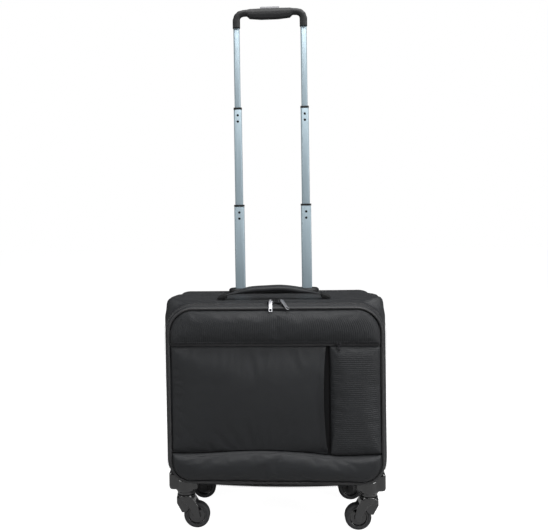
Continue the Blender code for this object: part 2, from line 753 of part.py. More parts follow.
def pull(length, width, thickness):
    """A flat pull lying along -Y from a cross bar on the X axis, with a slot at its far end."""
    neck = 2 * PULL_THICKNESS
    radii = (0.0018, 0.0018, 0.0008, 0.0008)
    outline = rounded_outline(-width / 2, width / 2, -length, -neck, radii, 3)
    rings = [at_height(outline, z) for z in (-thickness / 2, thickness / 2)]
    low = (-width / 2 + PULL_RIM, -length + PULL_RIM, -length)
    high = (width / 2 - PULL_RIM, -length + PULL_RIM + width * 0.8, length)
    bar = box((-BAR_LENGTH / 2, -neck - 0.0006, -thickness / 2), (BAR_LENGTH / 2, thickness / 2, thickness / 2))
    return combined(loft(rings), [("DIFFERENCE", box(low, high)), ("UNION", bar)])


def moved(bm, matrix):
    bmesh.ops.transform(bm, matrix=matrix, verts=bm.verts)
    return bm


def pull_droop(hinge_depth, hinge_z, turn):
    """Angle below the horizontal at which a pull from this hinge just clears the front piping."""
    drop = hinge_z - (CASE_TOP - PIPING_INSET)
    across = hinge_depth / math.cos(turn)
    reach = PIPING_RADIUS / math.cos(turn) + PULL_THICKNESS / 2 + PULL_CLEARANCE
    reach += PULL_WIDTH / 2 * math.sin(turn)
    return math.atan2(drop, across) - math.asin(reach / math.hypot(drop, across))


def slider_and_pull(suffix, place, facing, turn, droop, eye, sizes, surface):
    """A slider on its own slide, and the pull hinged to it; facing turns both from lying flat."""
    length, width, body, rise, pull_size = sizes
    to_place = Matrix.Translation(place) @ facing
    swing = Matrix.Rotation(turn, 4, "Z")
    slide = pivot(f"{suffix}_slide", place, lid)
    shape = slider(length, width, body, rise, BAR_FORWARD, turn, eye)
    add(f"{suffix}_slider", moved(shape, to_place), surface, slide)
    hinge_place = to_place @ swing @ Vector((0.0, -BAR_FORWARD, body + rise))
    hinge = pivot(f"{suffix}_pull_hinge", hinge_place, slide)
    to_hinge = Matrix.Translation(hinge_place) @ facing @ swing @ Matrix.Rotation(droop, 4, "X")
    add(f"{suffix}_pull", moved(pull(*pull_size), to_hinge), surface, hinge)


slider_z = CASE_TOP - SHELL_FRONT_INSET + 2 * GAP
slider_depth = 0.5 * (ZIP_LID_FRONT + ZIP_CASE_BACK)
lying = Matrix.Identity(4)
main_sizes = (SLIDER_LENGTH, SLIDER_WIDTH, SLIDER_BODY, BAR_RISE, (PULL_LENGTH, PULL_WIDTH, PULL_THICKNESS))
for suffix, x, turn, eye in (("left", LEFT_SLIDER_X, 0.0, 1), ("right", RIGHT_SLIDER_X, RIGHT_PULL_TURN, -1)):
    place = Vector((x, PIPING_Y + slider_depth, slider_z))
    hinge_depth = slider_depth - BAR_FORWARD * math.cos(turn)
    lean = pull_droop(hinge_depth, slider_z + SLIDER_BODY + BAR_RISE, turn)
    slider_and_pull(f"zip_{suffix}", place, lying, turn, lean, eye, main_sizes, NICKEL)

upright = Matrix.Rotation(math.pi / 2, 4, "X")
pocket_x = PANEL_SIDE - POCKET_SLIDER_INSET
pocket_place = Vector((pocket_x, PIPING_Y - ZIP_RECESS - GAP, 0.5 * (POCKET_TOP_Z + BAND_SEAM_Z)))
pocket_sizes = (
    POCKET_SLIDER_LENGTH,
    POCKET_SLIDER_WIDTH,
    POCKET_SLIDER_BODY,
    POCKET_BAR_RISE,
    (POCKET_PULL_LENGTH, POCKET_PULL_WIDTH, PULL_THICKNESS * 0.8),
)
slider_and_pull("pocket", pocket_place, upright, 0.0, 0.0, 0, pocket_sizes, MATT)

# ---- Carry handle --------------------------------------------------------------------------------


def handle_rings():
    """Sections of the padded arch, from its left end to its right end."""
    rings = []
    half_span = HANDLE_SPAN / 2
    stations = 14
    for i in range(stations + 1):
        share = -1 + 2 * i / stations
        lift = 1 - share * share
        full = min(1.0, 2.6 * (1 - abs(share)))
        thickness = HANDLE_END_THICKNESS + full * (HANDLE_THICKNESS - HANDLE_END_THICKNESS)
        width = HANDLE_END_WIDTH + full * (HANDLE_WIDTH - HANDLE_END_WIDTH)
        x = share * half_span
        z = CASE_TOP + HANDLE_END_RISE + lift * (HANDLE_RISE - HANDLE_END_RISE)
        y = PIPING_Y + HANDLE_DEPTH
        ring = []
        for point_y, point_z in tube_section((width, thickness), min(width, thickness) * 0.32):
            ring.append((x, y + point_y, z + point_z))
        rings.append(ring)
    return rings


handle_pivot = pivot("carry_handle_pivot", (0.0, PIPING_Y + HANDLE_DEPTH, CASE_TOP + HANDLE_END_RISE))
add("carry_handle", loft(handle_rings()), NYLON, handle_pivot)

# ---- Telescopic handle ---------------------------------------------------------------------------

stage_pivots = []
parent = None
for stage in (1, 2, 3):
    parent = pivot(f"trolley_stage_{stage}_slide", (0.0, TUBE_Y, STAGE_TOPS[stage - 1]), parent)
    stage_pivots.append(parent)


def stage_span(stage):
    """Lower and upper end of the tubes of one stage."""
    low = STAGE_TOPS[stage - 1] - TUBE_OVERLAP[stage - 1]
    high = STAGE_TOPS[stage] if stage < 3 else GRIP_LEG_BOTTOM - GAP
    return low, high


for stage, carrier in enumerate(stage_pivots, start=1):
    low, high = stage_span(stage)
    size = TUBE_SIZES[stage]
    inside = [length - 2 * TUBE_WALL for length in size]
    for suffix, x in (("left", -TUBE_X), ("right", TUBE_X)):
        place = (x, TUBE_Y)
        add(f"stage_{stage}_tube_{suffix}", sleeve(size, inside, low, high, place), ALUMINIUM, carrier)
        if stage == 3:
            continue
        lip = [length + 2 * BUSHING_LIP for length in size]
        bore = [length + 2 * RUN_CLEARANCE for length in TUBE_SIZES[stage + 1]]
        ring = sleeve(lip, bore, high + GAP, high + GAP + BUSHING_HEIGHT, place)
        add(f"stage_{stage}_bushing_{suffix}", ring, MATT, carrier)


def grip_path():
    """Stations of the grip as (centre x, centre z, direction, half thickness, half depth)."""
    side_z = GRIP_TOP - GRIP_SIDE_HALF - 0.003
    turn_x, turn_z = TUBE_X - GRIP_CORNER, side_z - GRIP_CORNER
    leg = GRIP_LEG_HALF
    right = [
        (TUBE_X, GRIP_LEG_BOTTOM, 0.0, leg, 0.0090),
        (TUBE_X, turn_z, 0.0, leg, 0.0095),
    ]
    for step in range(1, 4):
        angle = 0.5 * math.pi * step / 3
        centre = (turn_x + GRIP_CORNER * math.cos(angle), turn_z + GRIP_CORNER * math.sin(angle))
        half = leg + (GRIP_SIDE_HALF - leg) * step / 3
        right.append((*centre, angle, half, 0.0100))
    ups = 0.5 * math.pi
    middle_z = GRIP_TOP - GRIP_MIDDLE_HALF
    right.append((0.048, side_z + 0.0005, ups, GRIP_SIDE_HALF, GRIP_HALF_DEPTH))
    right.append((0.042, middle_z + 0.001, ups, GRIP_MIDDLE_HALF - 0.0015, GRIP_HALF_DEPTH))
    right.append((0.018, middle_z, ups, GRIP_MIDDLE_HALF, GRIP_HALF_DEPTH))
    left = [(-x, z, math.pi - angle, half, depth) for x, z, angle, half, depth in reversed(right)]
    return right + left


def grip():
    """Moulded U-shaped hand grip, with a pocket for the release button."""
    rings = []
    sides = 12
    for x, z, angle, half, depth in grip_path():
        outward = (math.cos(angle), math.sin(angle))
        ring = []
        for side in range(sides):
            turn = 2 * math.pi * (side + 0.5) / sides
            across, along_y = math.cos(turn), math.sin(turn)
            flat = 1.0 / max(abs(across), abs(along_y)) ** 0.45
            across, along_y = across * flat * 0.93 * half, along_y * flat * 0.93 * depth
            ring.append((x + outward[0] * across, TUBE_Y + along_y, z + outward[1] * across))
        rings.append(ring)
    half_x = BUTTON_LENGTH / 2 + BUTTON_CLEARANCE
    half_y = BUTTON_WIDTH / 2 + BUTTON_CLEARANCE
    floor = button_low() - BUTTON_TRAVEL - BUTTON_CLEARANCE
    pocket = box((-half_x, TUBE_Y - half_y, floor), (half_x, TUBE_Y + half_y, GRIP_TOP + 0.02))
    return combined(loft(rings), [("DIFFERENCE", pocket)])


def button_low():
    return GRIP_TOP + BUTTON_PROUD - BUTTON_HEIGHT


add("trolley_grip", grip(), MATT, stage_pivots[2])
button_slide = pivot("release_button_slide", (0.0, TUBE_Y, GRIP_TOP), stage_pivots[2])
button = soft_box(
    (-BUTTON_LENGTH / 2, TUBE_Y - BUTTON_WIDTH / 2, button_low()),
    (BUTTON_LENGTH / 2, TUBE_Y + BUTTON_WIDTH / 2, GRIP_TOP + BUTTON_PROUD),
    0.0012,
)
add("release_button", button, BUTTON, button_slide)

# ---- Casters -------------------------------------------------------------------------------------
# Each fork is drawn round its stem at x = y = 0 with the wheel towards +X; the right-hand ones are
# turned half round, so that all four wheels trail towards the middle of the case.

AXLE_Z = WHEEL_RADIUS
SLOT_HALF = WHEEL_WIDTH / 2 + WHEEL_SIDE_CLEARANCE
FORK_HALF = SLOT_HALF + CHEEK_THICKNESS
SLOT_RADIUS = TYRE_RADIUS + 0.0020
BOSS_RADIUS = 0.0072


def fork():
    head = FORK_HEAD_RADIUS
    top = FORK_TOP
    boss = [
        (
            TRAIL + BOSS_RADIUS * math.cos(math.radians(angle)),
            AXLE_Z + BOSS_RADIUS * math.sin(math.radians(angle)),
        )
        for angle in range(150, 391, 40)
    ]
    horn = [(-0.92 * head, top - 0.004), (-0.92 * head, top - 0.012), (0.0020, top - 0.0165)]
    horn += boss
    horn += [(TRAIL + 0.0035, top - 0.0205), (0.92 * head, top - 0.0060), (0.92 * head, top - 0.004)]
    fairing = [
        (-head, top - 0.004),
        (-head, top - 0.0165),
        (TRAIL - SLOT_RADIUS - 0.0010, AXLE_Z + 0.0060),
        (TRAIL - SLOT_RADIUS + 0.0060, AXLE_Z + 0.0060),
        (0.9 * head, AXLE_Z + SLOT_RADIUS - 0.0040),
        (0.9 * head, top - 0.004),
    ]
    steps = [
        ("UNION", prism_y(fairing, SLOT_HALF + 0.0012)),
        ("UNION", cylinder((0.0, 0.0), head, top - 0.0095, top)),
        ("DIFFERENCE", cylinder((TRAIL, AXLE_Z), SLOT_RADIUS, -SLOT_HALF, SLOT_HALF, "Y", 32)),
        ("UNION", cylinder((TRAIL, AXLE_Z), AXLE_RADIUS, -SLOT_HALF - 0.001, SLOT_HALF + 0.001, "Y", 16)),
    ]
    return combined(prism_y(horn, FORK_HALF), steps)


def tyre():
    half, inner = WHEEL_WIDTH / 2, TYRE_RADIUS - TYRE_THICKNESS
    profile = [
        (inner, -half + 0.001),
        (TYRE_RADIUS - 0.0025, -half),
        (TYRE_RADIUS, -half + 0.0035),
        (TYRE_RADIUS, half - 0.0035),
        (TYRE_RADIUS - 0.0025, half),
        (inner, half - 0.001),
    ]
    return turned_y((TRAIL, AXLE_Z), profile, WHEEL_SEGMENTS)


def hub():
    half = WHEEL_WIDTH / 2 - 0.0005
    rim = TYRE_RADIUS - TYRE_THICKNESS - GAP
    bore = AXLE_RADIUS + AXLE_CLEARANCE
    side = [(bore, half), (bore + 0.0035, half), (bore + 0.0045, half - 0.003), (rim - 0.0030, half - 0.003)]
    side += [(rim - 0.0020, half), (rim, half)]
    profile = side + [(radius, -y) for radius, y in reversed(side)]
    return turned_y((TRAIL, AXLE_Z), profile, WHEEL_SEGMENTS)


fork_shape, tyre_shape, hub_shape = fork(), tyre(), hub()
for end, stem_y in (("front", FRONT_STEM_Y), ("rear", REAR_STEM_Y)):
    for suffix, side in (("left", -1), ("right", 1)):
        corner = f"{end}_{suffix}"
        turned = Matrix.Rotation(0.0 if side < 0 else math.pi, 4, "Z")
        to_world = Matrix.Translation((side * STEM_X, stem_y, 0.0)) @ turned
        swivel = pivot(f"caster_swivel_{corner}", (side * STEM_X, stem_y, FORK_TOP))
        add(f"caster_fork_{corner}", moved(fork_shape.copy(), to_world), GLOSS, swivel)
        axle = pivot(f"wheel_axle_{corner}", to_world @ Vector((TRAIL, 0.0, AXLE_Z)), swivel)
        add(f"tyre_{corner}", moved(tyre_shape.copy(), to_world), TYRE, axle)
        add(f"wheel_hub_{corner}", moved(hub_shape.copy(), to_world), MATT, axle)
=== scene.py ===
"""Pilot's rolling flight case: a soft black trolley case on four swivel casters, its handle pulled out.

The sections follow the case as it is put together: shell and back, zip, lid with its bands and pockets,
carry handle, telescopic handle and casters. +X is the right-hand side seen from the front, -Y the front,
z = 0 the floor, and all sizes are metres.
"""

import math

import bmesh
import bpy
import numpy as np
from mathutils import Matrix, Vector, noise


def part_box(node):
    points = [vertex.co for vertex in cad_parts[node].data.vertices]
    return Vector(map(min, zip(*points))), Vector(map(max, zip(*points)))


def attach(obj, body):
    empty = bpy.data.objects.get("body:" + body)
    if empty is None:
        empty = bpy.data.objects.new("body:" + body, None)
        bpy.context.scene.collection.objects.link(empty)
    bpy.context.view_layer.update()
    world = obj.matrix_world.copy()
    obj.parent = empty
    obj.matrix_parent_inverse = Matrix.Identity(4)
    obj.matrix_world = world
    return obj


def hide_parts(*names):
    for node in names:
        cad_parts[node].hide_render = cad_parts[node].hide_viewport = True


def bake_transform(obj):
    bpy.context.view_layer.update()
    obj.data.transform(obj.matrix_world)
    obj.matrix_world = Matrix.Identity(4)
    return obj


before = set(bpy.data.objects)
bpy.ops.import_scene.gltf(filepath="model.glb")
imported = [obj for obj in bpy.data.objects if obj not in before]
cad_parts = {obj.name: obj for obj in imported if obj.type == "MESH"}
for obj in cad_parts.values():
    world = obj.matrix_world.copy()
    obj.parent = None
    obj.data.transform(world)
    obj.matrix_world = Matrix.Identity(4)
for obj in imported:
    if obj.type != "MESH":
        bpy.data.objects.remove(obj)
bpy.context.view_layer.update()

# ---- Room ----------------------------------------------------------------------------------------
# A plain pale floor in a white room with large soft boxes, and the camera a little above the top of
# the case, turned slightly to its left and leaning slightly.

scene = bpy.context.scene
scene.view_settings.view_transform = "Standard"

ROOM_SIGHT = 1.0
ROOM_LIGHT = 0.07

room = bpy.data.worlds.new("white_room")
scene.world = room
room.use_nodes = True
room_nodes, room_links = room.node_tree.nodes, room.node_tree.links
sight = room_nodes.new("ShaderNodeLightPath")
room_level = room_nodes.new("ShaderNodeMapRange")
room_level.inputs["To Min"].default_value = ROOM_LIGHT
room_level.inputs["To Max"].default_value = ROOM_SIGHT
room_links.new(sight.outputs["Is Camera Ray"], room_level.inputs["Value"])
backdrop = room_nodes["Background"]
backdrop.inputs["Color"].default_value = (1.0, 1.0, 1.0, 1.0)
room_links.new(room_level.outputs["Result"], backdrop.inputs["Strength"])


def soft_box(name, place, aim, size, watts):
    """A rectangular lamp at place that faces aim."""
    lamp = bpy.data.lights.new(name, "AREA")
    lamp.shape = "RECTANGLE"
    lamp.size, lamp.size_y = size
    lamp.energy = watts
    made = bpy.data.objects.new(name, lamp)
    scene.collection.objects.link(made)
    made.location = place
    made.rotation_euler = (Vector(aim) - Vector(place)).to_track_quat("-Z", "Y").to_euler()


soft_box("box_above", (0.35, -0.75, 2.3), (0.0, 0.0, 0.4), (1.8, 1.2), 74)
soft_box("box_right", (1.9, -1.3, 1.1), (0.1, 0.0, 0.30), (0.7, 1.6), 36)
soft_box("box_left", (-2.0, -1.2, 0.9), (-0.1, 0.0, 0.30), (0.5, 1.4), 16)

floor_mesh = bpy.data.meshes.new("floor")
floor_mesh.from_pydata([(-9, -9, 0), (9, -9, 0), (9, 9, 0), (-9, 9, 0)], [], [(0, 1, 2, 3)])
floor = bpy.data.objects.new("floor", floor_mesh)
scene.collection.objects.link(floor)
floor_paint = bpy.data.materials.new("pale_floor")
floor_paint.use_nodes = True
floor_shader = floor_paint.node_tree.nodes["Principled BSDF"]
floor_shader.inputs["Base Color"].default_value = (0.34, 0.34, 0.34, 1.0)
floor_shader.inputs["Roughness"].default_value = 0.9
floor_shader.inputs["Emission Color"].default_value = (1.0, 1.0, 1.0, 1.0)
floor_nodes, floor_links = floor_paint.node_tree.nodes, floor_paint.node_tree.links
floor_sight = floor_nodes.new("ShaderNodeLightPath")
floor_level = floor_nodes.new("ShaderNodeMapRange")
floor_level.inputs["To Min"].default_value = 0.0
floor_level.inputs["To Max"].default_value = 0.97
floor_links.new(floor_sight.outputs["Is Camera Ray"], floor_level.inputs["Value"])
floor_links.new(floor_level.outputs["Result"], floor_shader.inputs["Emission Strength"])
floor_mesh.materials.append(floor_paint)

EYE = Vector((0.0056, -1.4144, 0.615))
EYE_TURN = math.radians(4.07)        # to the left of straight ahead
EYE_TILT = math.radians(1.66)        # down
EYE_ROLL = math.radians(-0.98)

camera_data = bpy.data.cameras.new("camera")
camera_data.lens = 46.6
camera_data.sensor_width = 36.0
camera_data.shift_x = 0.0892
camera_data.shift_y = -0.0657
camera_data.clip_start = 0.01
camera = bpy.data.objects.new("camera", camera_data)
scene.collection.objects.link(camera)
camera.location = EYE
ahead = Matrix.Rotation(EYE_TURN, 3, "Z") @ Matrix.Rotation(-EYE_TILT, 3, "X") @ Vector((0, 1, 0))
camera.rotation_mode = "QUATERNION"
leaning = Matrix.Rotation(EYE_ROLL, 3, "Z").to_quaternion()
camera.rotation_quaternion = ahead.to_track_quat("-Z", "Y") @ leaning
scene.camera = camera

# ---- Main shell ----------------------------------------------------------------------------------
# The sides, top and bottom are one run of black ballistic nylon over thin foam, lined in grey. A
# sprung wire in the rear of the front edge keeps the corners up, and between them the cloth sags.


class Level:
    """A socket in a node tree: sums, differences and products of levels add their own Math nodes."""

    def __init__(self, tree, socket):
        self.tree, self.socket = tree, socket

    def add(self, kind, settings=(), inputs=(), output=0):
        """Adds a node to the same tree, sets it up, fills its sockets and gives one of its outputs."""
        made = self.tree.nodes.new(kind)
        for name, value in dict(settings).items():
            if name == "stops":
                ramp = made.color_ramp.elements
                while len(ramp) < len(value):
                    ramp.new(0.5)
                for stop, (place, grey) in zip(ramp, value):
                    stop.position, stop.color = place, (grey, grey, grey, 1.0)
            else:
                setattr(made, name, value)
        for name, value in dict(inputs).items():
            if isinstance(value, Level):
                self.tree.links.new(value.socket, made.inputs[name])
            else:
                made.inputs[name].default_value = value
        return Level(self.tree, made.outputs[output])

    def maths(self, operation, *values):
        return self.add("ShaderNodeMath", {"operation": operation}, dict(enumerate(values)))

    def __add__(self, other):
        return self.maths("ADD", self, other)

    def __sub__(self, other):
        return self.maths("SUBTRACT", self, other)

    def __rsub__(self, other):
        return self.maths("SUBTRACT", other, self)

    def __mul__(self, other):
        return self.maths("MULTIPLY", self, other)

    def __gt__(self, other):
        return self.maths("GREATER_THAN", self, other)

    def wave(self, pitch, start=0.0):
        """A rounded ridge from 0 to 1 and back over each pitch."""
        return self.maths("ABSOLUTE", self.maths("SINE", self * (math.pi / pitch) + start))

    def part(self, axis):
        """One coordinate of a place."""
        return self.add("ShaderNodeSeparateXYZ", (), {0: self}, axis)

    def cloud(self, scale, detail=3.0, roughness=0.5):
        """Noise from 0 to 1 over a place."""
        sizes = {"Vector": self, "Scale": scale, "Detail": detail, "Roughness": roughness}
        return self.add("ShaderNodeTexNoise", (), sizes)

    def stretched(self, factors):
        """A place with each coordinate multiplied."""
        return self.add("ShaderNodeVectorMath", {"operation": "MULTIPLY"}, {0: self, 1: factors})

    def within(self, low, high, from_low=0.0, from_high=1.0):
        """The level moved from one range to another."""
        ends = {"Value": self, "From Min": from_low, "From Max": from_high, "To Min": low, "To Max": high}
        return self.add("ShaderNodeMapRange", (), ends)

    def colours(self, first, second):
        """The colour between first and second that the level picks."""
        ends = {"Factor": self, 6: (*first, 1.0), 7: (*second, 1.0)}
        return self.add("ShaderNodeMix", {"data_type": "RGBA"}, ends, 2)


class Finish:
    """A material, with its shader's own fixed levels and the levels that change over the piece."""

    def __init__(self, name, **fixed):
        self.material = bpy.data.materials.new(name)
        self.material.use_nodes = True
        self.tree = self.material.node_tree
        self.shader = self.tree.nodes["Principled BSDF"]
        for key, value in fixed.items():
            self.shader.inputs[key.replace("_", " ").title().replace("Ior", "IOR")].default_value = value
        corner = self.tree.nodes.new("ShaderNodeTexCoord")
        self.place = Level(self.tree, corner.outputs["Object"])
        self.cloth = Level(self.tree, corner.outputs["UV"])

    def feed(self, name, level):
        self.tree.links.new(level.socket, self.shader.inputs[name])

    def bump(self, height, depth):
        """Raises the surface by depth metres times height."""
        bumped = height.add("ShaderNodeBump", (), {"Strength": 1.0, "Distance": depth, "Height": height})
        self.feed("Normal", bumped)


YARN = 0.0009                        # width of one yarn
RIB_PITCH = 0.0038


def woven_nylon(name, dark, light, rib=(0.0, 0.0)):
    """Ballistic nylon: a basket weave of flat yarns, with a faint rib where the cloth has it."""
    made = Finish(name, sheen_weight=0.05, sheen_roughness=0.45, specular_ior_level=0.36)
    along, across = made.cloth.part(0), made.cloth.part(1)
    warp, weft = along.wave(YARN), across.wave(YARN)
    over = (along.wave(2 * YARN, 0.4) > 0.7) + (across.wave(2 * YARN, 0.4) > 0.7)
    turned = over.maths("MODULO", over, 2.0)
    weave = warp * turned + weft * (1 - turned)
    ribs = along.wave(RIB_PITCH) * rib[0] + across.wave(RIB_PITCH) * rib[1]
    worn = made.place.cloud(22.0, 4.0)
    fleck = made.cloth.stretched((1.0, 0.18, 1.0)).cloud(900.0, 1.0)
    made.bump(weave * 0.55 + ribs + fleck * 0.25 + worn * 0.3, 0.00022)
    made.feed("Base Color", (weave * 0.45 + worn * 0.4 + fleck * 0.15).colours(dark, light))
    made.feed("Roughness", (worn * 0.7 + weave * 0.3).within(0.44, 0.60))
    return made.material


nylon = woven_nylon("black_nylon_weave", (0.0040, 0.0046, 0.0056), (0.0102, 0.0114, 0.0135))

lining = Finish("grey_lining_weave", sheen_weight=0.2, roughness=0.85)
lining_yarn = lining.cloth.part(0).wave(0.0007) * 0.5 + lining.cloth.part(1).wave(0.0007) * 0.5
lining.feed("Base Color", lining_yarn.colours((0.060, 0.061, 0.066), (0.120, 0.121, 0.128)))
lining.bump(lining_yarn + lining.place.cloud(30.0), 0.00012)
lining = lining.material


def as_object(name, mesh, *materials):
    made = bpy.data.objects.new(name, mesh)
    scene.collection.objects.link(made)
    for surface in materials:
        mesh.materials.append(surface)
    return made


def skin(name, rows, materials, ring=False, loop=False, ends=False, flip=False):
    """A smooth surface over rows of points, with a UV map in metres.

    ring joins each row's end to its start, loop joins the last row to the first, and ends closes the
    first and last rows.
    """
    rows = np.array(rows, float)
    deep, wide = rows.shape[:2]
    steps_wide = np.linalg.norm(np.roll(rows, -1, 1) - rows, axis=2).mean(0)
    steps_deep = np.linalg.norm(np.roll(rows, -1, 0) - rows, axis=2).mean(1)
    u = np.concatenate([[0.0], np.cumsum(steps_wide)])
    v = np.concatenate([[0.0], np.cumsum(steps_deep)])
    faces, coordinates = [], []
    for i in range(deep if loop else deep - 1):
        for j in range(wide if ring else wide - 1):
            near, far = i * wide, (i + 1) % deep * wide
            quad = [(near + j, u[j], v[i]), (near + (j + 1) % wide, u[j + 1], v[i])]
            quad += [(far + (j + 1) % wide, u[j + 1], v[i + 1]), (far + j, u[j], v[i + 1])]
            if flip:
                quad.reverse()
            faces.append([corner[0] for corner in quad])
            coordinates += [corner[1:] for corner in quad]
    if ends:
        first, last = list(range(wide)), list(range((deep - 1) * wide, deep * wide))
        for cap in (first if flip else first[::-1], last[::-1] if flip else last):
            faces.append(cap)
            coordinates += [(rows[c // wide][c % wide][0], rows[c // wide][c % wide][2]) for c in cap]
    mesh = bpy.data.meshes.new(name)
    mesh.from_pydata(rows.reshape(-1, 3).tolist(), [], faces)
    mesh.uv_layers.new(name="UVMap").uv.foreach_set("vector", np.array(coordinates, np.float32).ravel())
    mesh.shade_smooth()
    return as_object(name, mesh, *materials)


def baked(piece, sharp=40):
    """The piece with its modifiers worked into its mesh."""
    graph = bpy.context.evaluated_depsgraph_get()
    mesh = bpy.data.meshes.new_from_object(piece.evaluated_get(graph), depsgraph=graph)
    mesh.name = piece.name
    piece.modifiers.clear()
    piece.data = mesh
    mesh.shade_smooth()
    mesh.set_sharp_from_angle(angle=math.radians(sharp))
    return piece


def modified(piece, kind, **settings):
    added = piece.modifiers.new(kind.lower(), kind)
    for key, value in settings.items():
        setattr(added, key, value)
    return piece


def fixed(piece, body, slot, *nodes):
    """Fixes a finished piece to its body and hides the frame nodes that it stands for; slot is not used."""
    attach(piece, body)
    if nodes:
        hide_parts(*nodes)
    return piece


shell_low, shell_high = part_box("main_shell")
HALF_WIDTH = shell_high.x
BASE, TOP = shell_low.z, shell_high.z
SHELL_FRONT = shell_low.y
FRONT_RADII = (0.058, 0.051)         # upper and lower corners at the front opening
REAR_RADII = (0.034, 0.046)
SIDE_POINTS, CORNER_POINTS = 52, 14


def case_line(inset, radii, points=(SIDE_POINTS, CORNER_POINTS)):
    """Places (x, z) round the case and the directions out of it, from the middle of the bottom."""
    upper, lower = radii
    side, corner = points
    corners = (
        (HALF_WIDTH - lower, BASE + lower, lower, -90),
        (HALF_WIDTH - upper, TOP - upper, upper, 0),
        (upper - HALF_WIDTH, TOP - upper, upper, 90),
        (lower - HALF_WIDTH, BASE + lower, lower, 180),
    )
    arcs = []
    for x, z, radius, start in corners:
        turns = np.radians(start + np.linspace(0, 90, corner))
        out = np.stack([np.cos(turns), np.sin(turns)], 1)
        arcs.append((np.array([x, z]) + (radius - inset) * out, out))
    places, outs = [], []
    for i, (arc, out) in enumerate(arcs):
        start, start_out = (arcs[i - 1][0][-1], arcs[i - 1][1][-1])
        if i == 0:
            start, start_out = np.array([0.0, BASE + inset]), out[0]
        shares = np.linspace(0, 1, side // 2 if i == 0 else side)[:-1, None]
        places += [start * (1 - shares) + arc[0] * shares, arc]
        outs += [np.repeat(start_out[None], len(shares), 0), out]
    shares = np.linspace(0, 1, side // 2)[:-1, None]
    middle = np.array([0.0, BASE + inset])
    places.append(arcs[-1][0][-1] * (1 - shares) + middle * shares)
    outs.append(np.repeat(arcs[-1][1][-1][None], len(shares), 0))
    places, outs = np.concatenate(places), np.concatenate(outs)
    keep = np.linalg.norm(np.roll(places, -1, 0) - places, axis=1) > 1e-7
    return places[keep], outs[keep]


def ease(share):
    share = min(max(share, 0.0), 1.0)
    return share * share * (3 - 2 * share)


SAG = 0.0035                         # of the top, between its corners
CORNER_PEAK = 0.0110
BELLY = 0.0060                       # of the bottom, below the frame
FOLD = 0.0011                        # depth of the loose cloth's folds
PIPED_RIDGE = 0.0011                 # of the seam over the frame wire
WIRE_DEPTH = 0.026

shell_rows = []
shell_depths = np.concatenate([np.linspace(0, 0.040, 15), np.linspace(0.045, 0.182, 26)])
for depth in shell_depths:
    squared = ease((depth - 0.002) / 0.022)
    radii = [a + (b - a) * squared for a, b in zip(FRONT_RADII, REAR_RADII)]
    spots, outs = case_line(0.003 * (1 - squared), radii)
    middle_depth = math.sin(math.pi * min(depth / 0.182, 1.0))
    row = []
    for (x, z), (out_x, out_z) in zip(spots, outs):
        angle = math.degrees(math.atan2(out_z, abs(out_x)))
        peak = CORNER_PEAK * squared * math.exp(-(((angle - 55) / 20) ** 2)) * (angle < 89.9)
        peak *= 1 - 0.85 * ease((depth - 0.06) / 0.10)
        lift = peak - SAG * max(out_z, 0.0) * (1 - min(abs(x) / 0.19, 1.0) ** 2) * squared
        lift += BELLY * max(-out_z, 0.0) * (1 - min(abs(x) / 0.16, 1.0) ** 2)
        folds = noise.noise(Vector((x * 16, depth * 22, z * 9)))
        folds += 0.5 * noise.noise(Vector((x * 40, depth * 34, z * 30)))
        lift += FOLD * max(folds, -0.35) * (0.3 + 0.9 * middle_depth)
        lift += PIPED_RIDGE * math.exp(-(((depth - WIRE_DEPTH) / 0.0018) ** 2))
        lift += PIPED_RIDGE * math.exp(-(((depth - 0.1795) / 0.0016) ** 2))
        row.append((x + out_x * lift, SHELL_FRONT + depth, z + out_z * lift))
    shell_rows.append(row)

shell = skin("shell_cloth", shell_rows, (nylon, lining), ring=True, flip=True)

tube_low, tube_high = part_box("fixed_tube_right")
TUBE_X = (tube_low.x + tube_high.x) / 2
TUBE_Y = (tube_low.y + tube_high.y) / 2
cutting = bmesh.new()
cutting.from_mesh(shell.data)
openings = [
    face for face in cutting.faces
    if face.calc_center_median().z > TOP - 0.02
    and abs(abs(face.calc_center_median().x) - TUBE_X) < 0.013
    and abs(face.calc_center_median().y - TUBE_Y) < 0.009
]
bmesh.ops.delete(cutting, geom=openings, context="FACES")
cutting.to_mesh(shell.data)
cutting.free()
modified(shell, "SOLIDIFY", thickness=0.0032, offset=-1.0, material_offset=1, material_offset_rim=0)
baked(shell)
fixed(shell, "case", "black_nylon", "main_shell")


def dressed(node, *materials):
    """Gives a frame node that stays as it is a better finish."""
    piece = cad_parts[node]
    piece.data.materials.clear()
    for surface in materials:
        piece.data.materials.append(surface)


board = Finish("stiffener_sheet", roughness=0.8, specular_ior_level=0.3)
board.feed("Base Color", board.place.cloud(60.0, 5.0).colours((0.028, 0.028, 0.030), (0.060, 0.060, 0.062)))
board.bump(board.place.cloud(700.0, 2.0), 0.00010)
wire = Finish("sprung_wire", metallic=1.0, roughness=0.4)
wire.feed("Base Color", wire.place.cloud(120.0).colours((0.30, 0.30, 0.31), (0.50, 0.50, 0.51)))
wire.bump(wire.place.cloud(900.0), 0.00004)
dressed("base_board", board.material)
dressed("lining_panel", lining)
dressed("frame_wire", wire.material)

# ---- Back ----------------------------------------------------------------------------------------
# The back is one padded nylon panel sewn in with piped edges. The cloth is held down along a line of
# stitches inside its border and beside each of the two channels that the handle's tubes run in.


def lattice(outline_at, low, high, wide, tall):
    """Places (x, z) over a panel whose left and right edges at each height come from outline_at."""
    grid = []
    for z in np.linspace(low, high, tall):
        left, right = outline_at(z)
        grid.append([(x, z) for x in np.linspace(left, right, wide)])
    return np.array(grid)


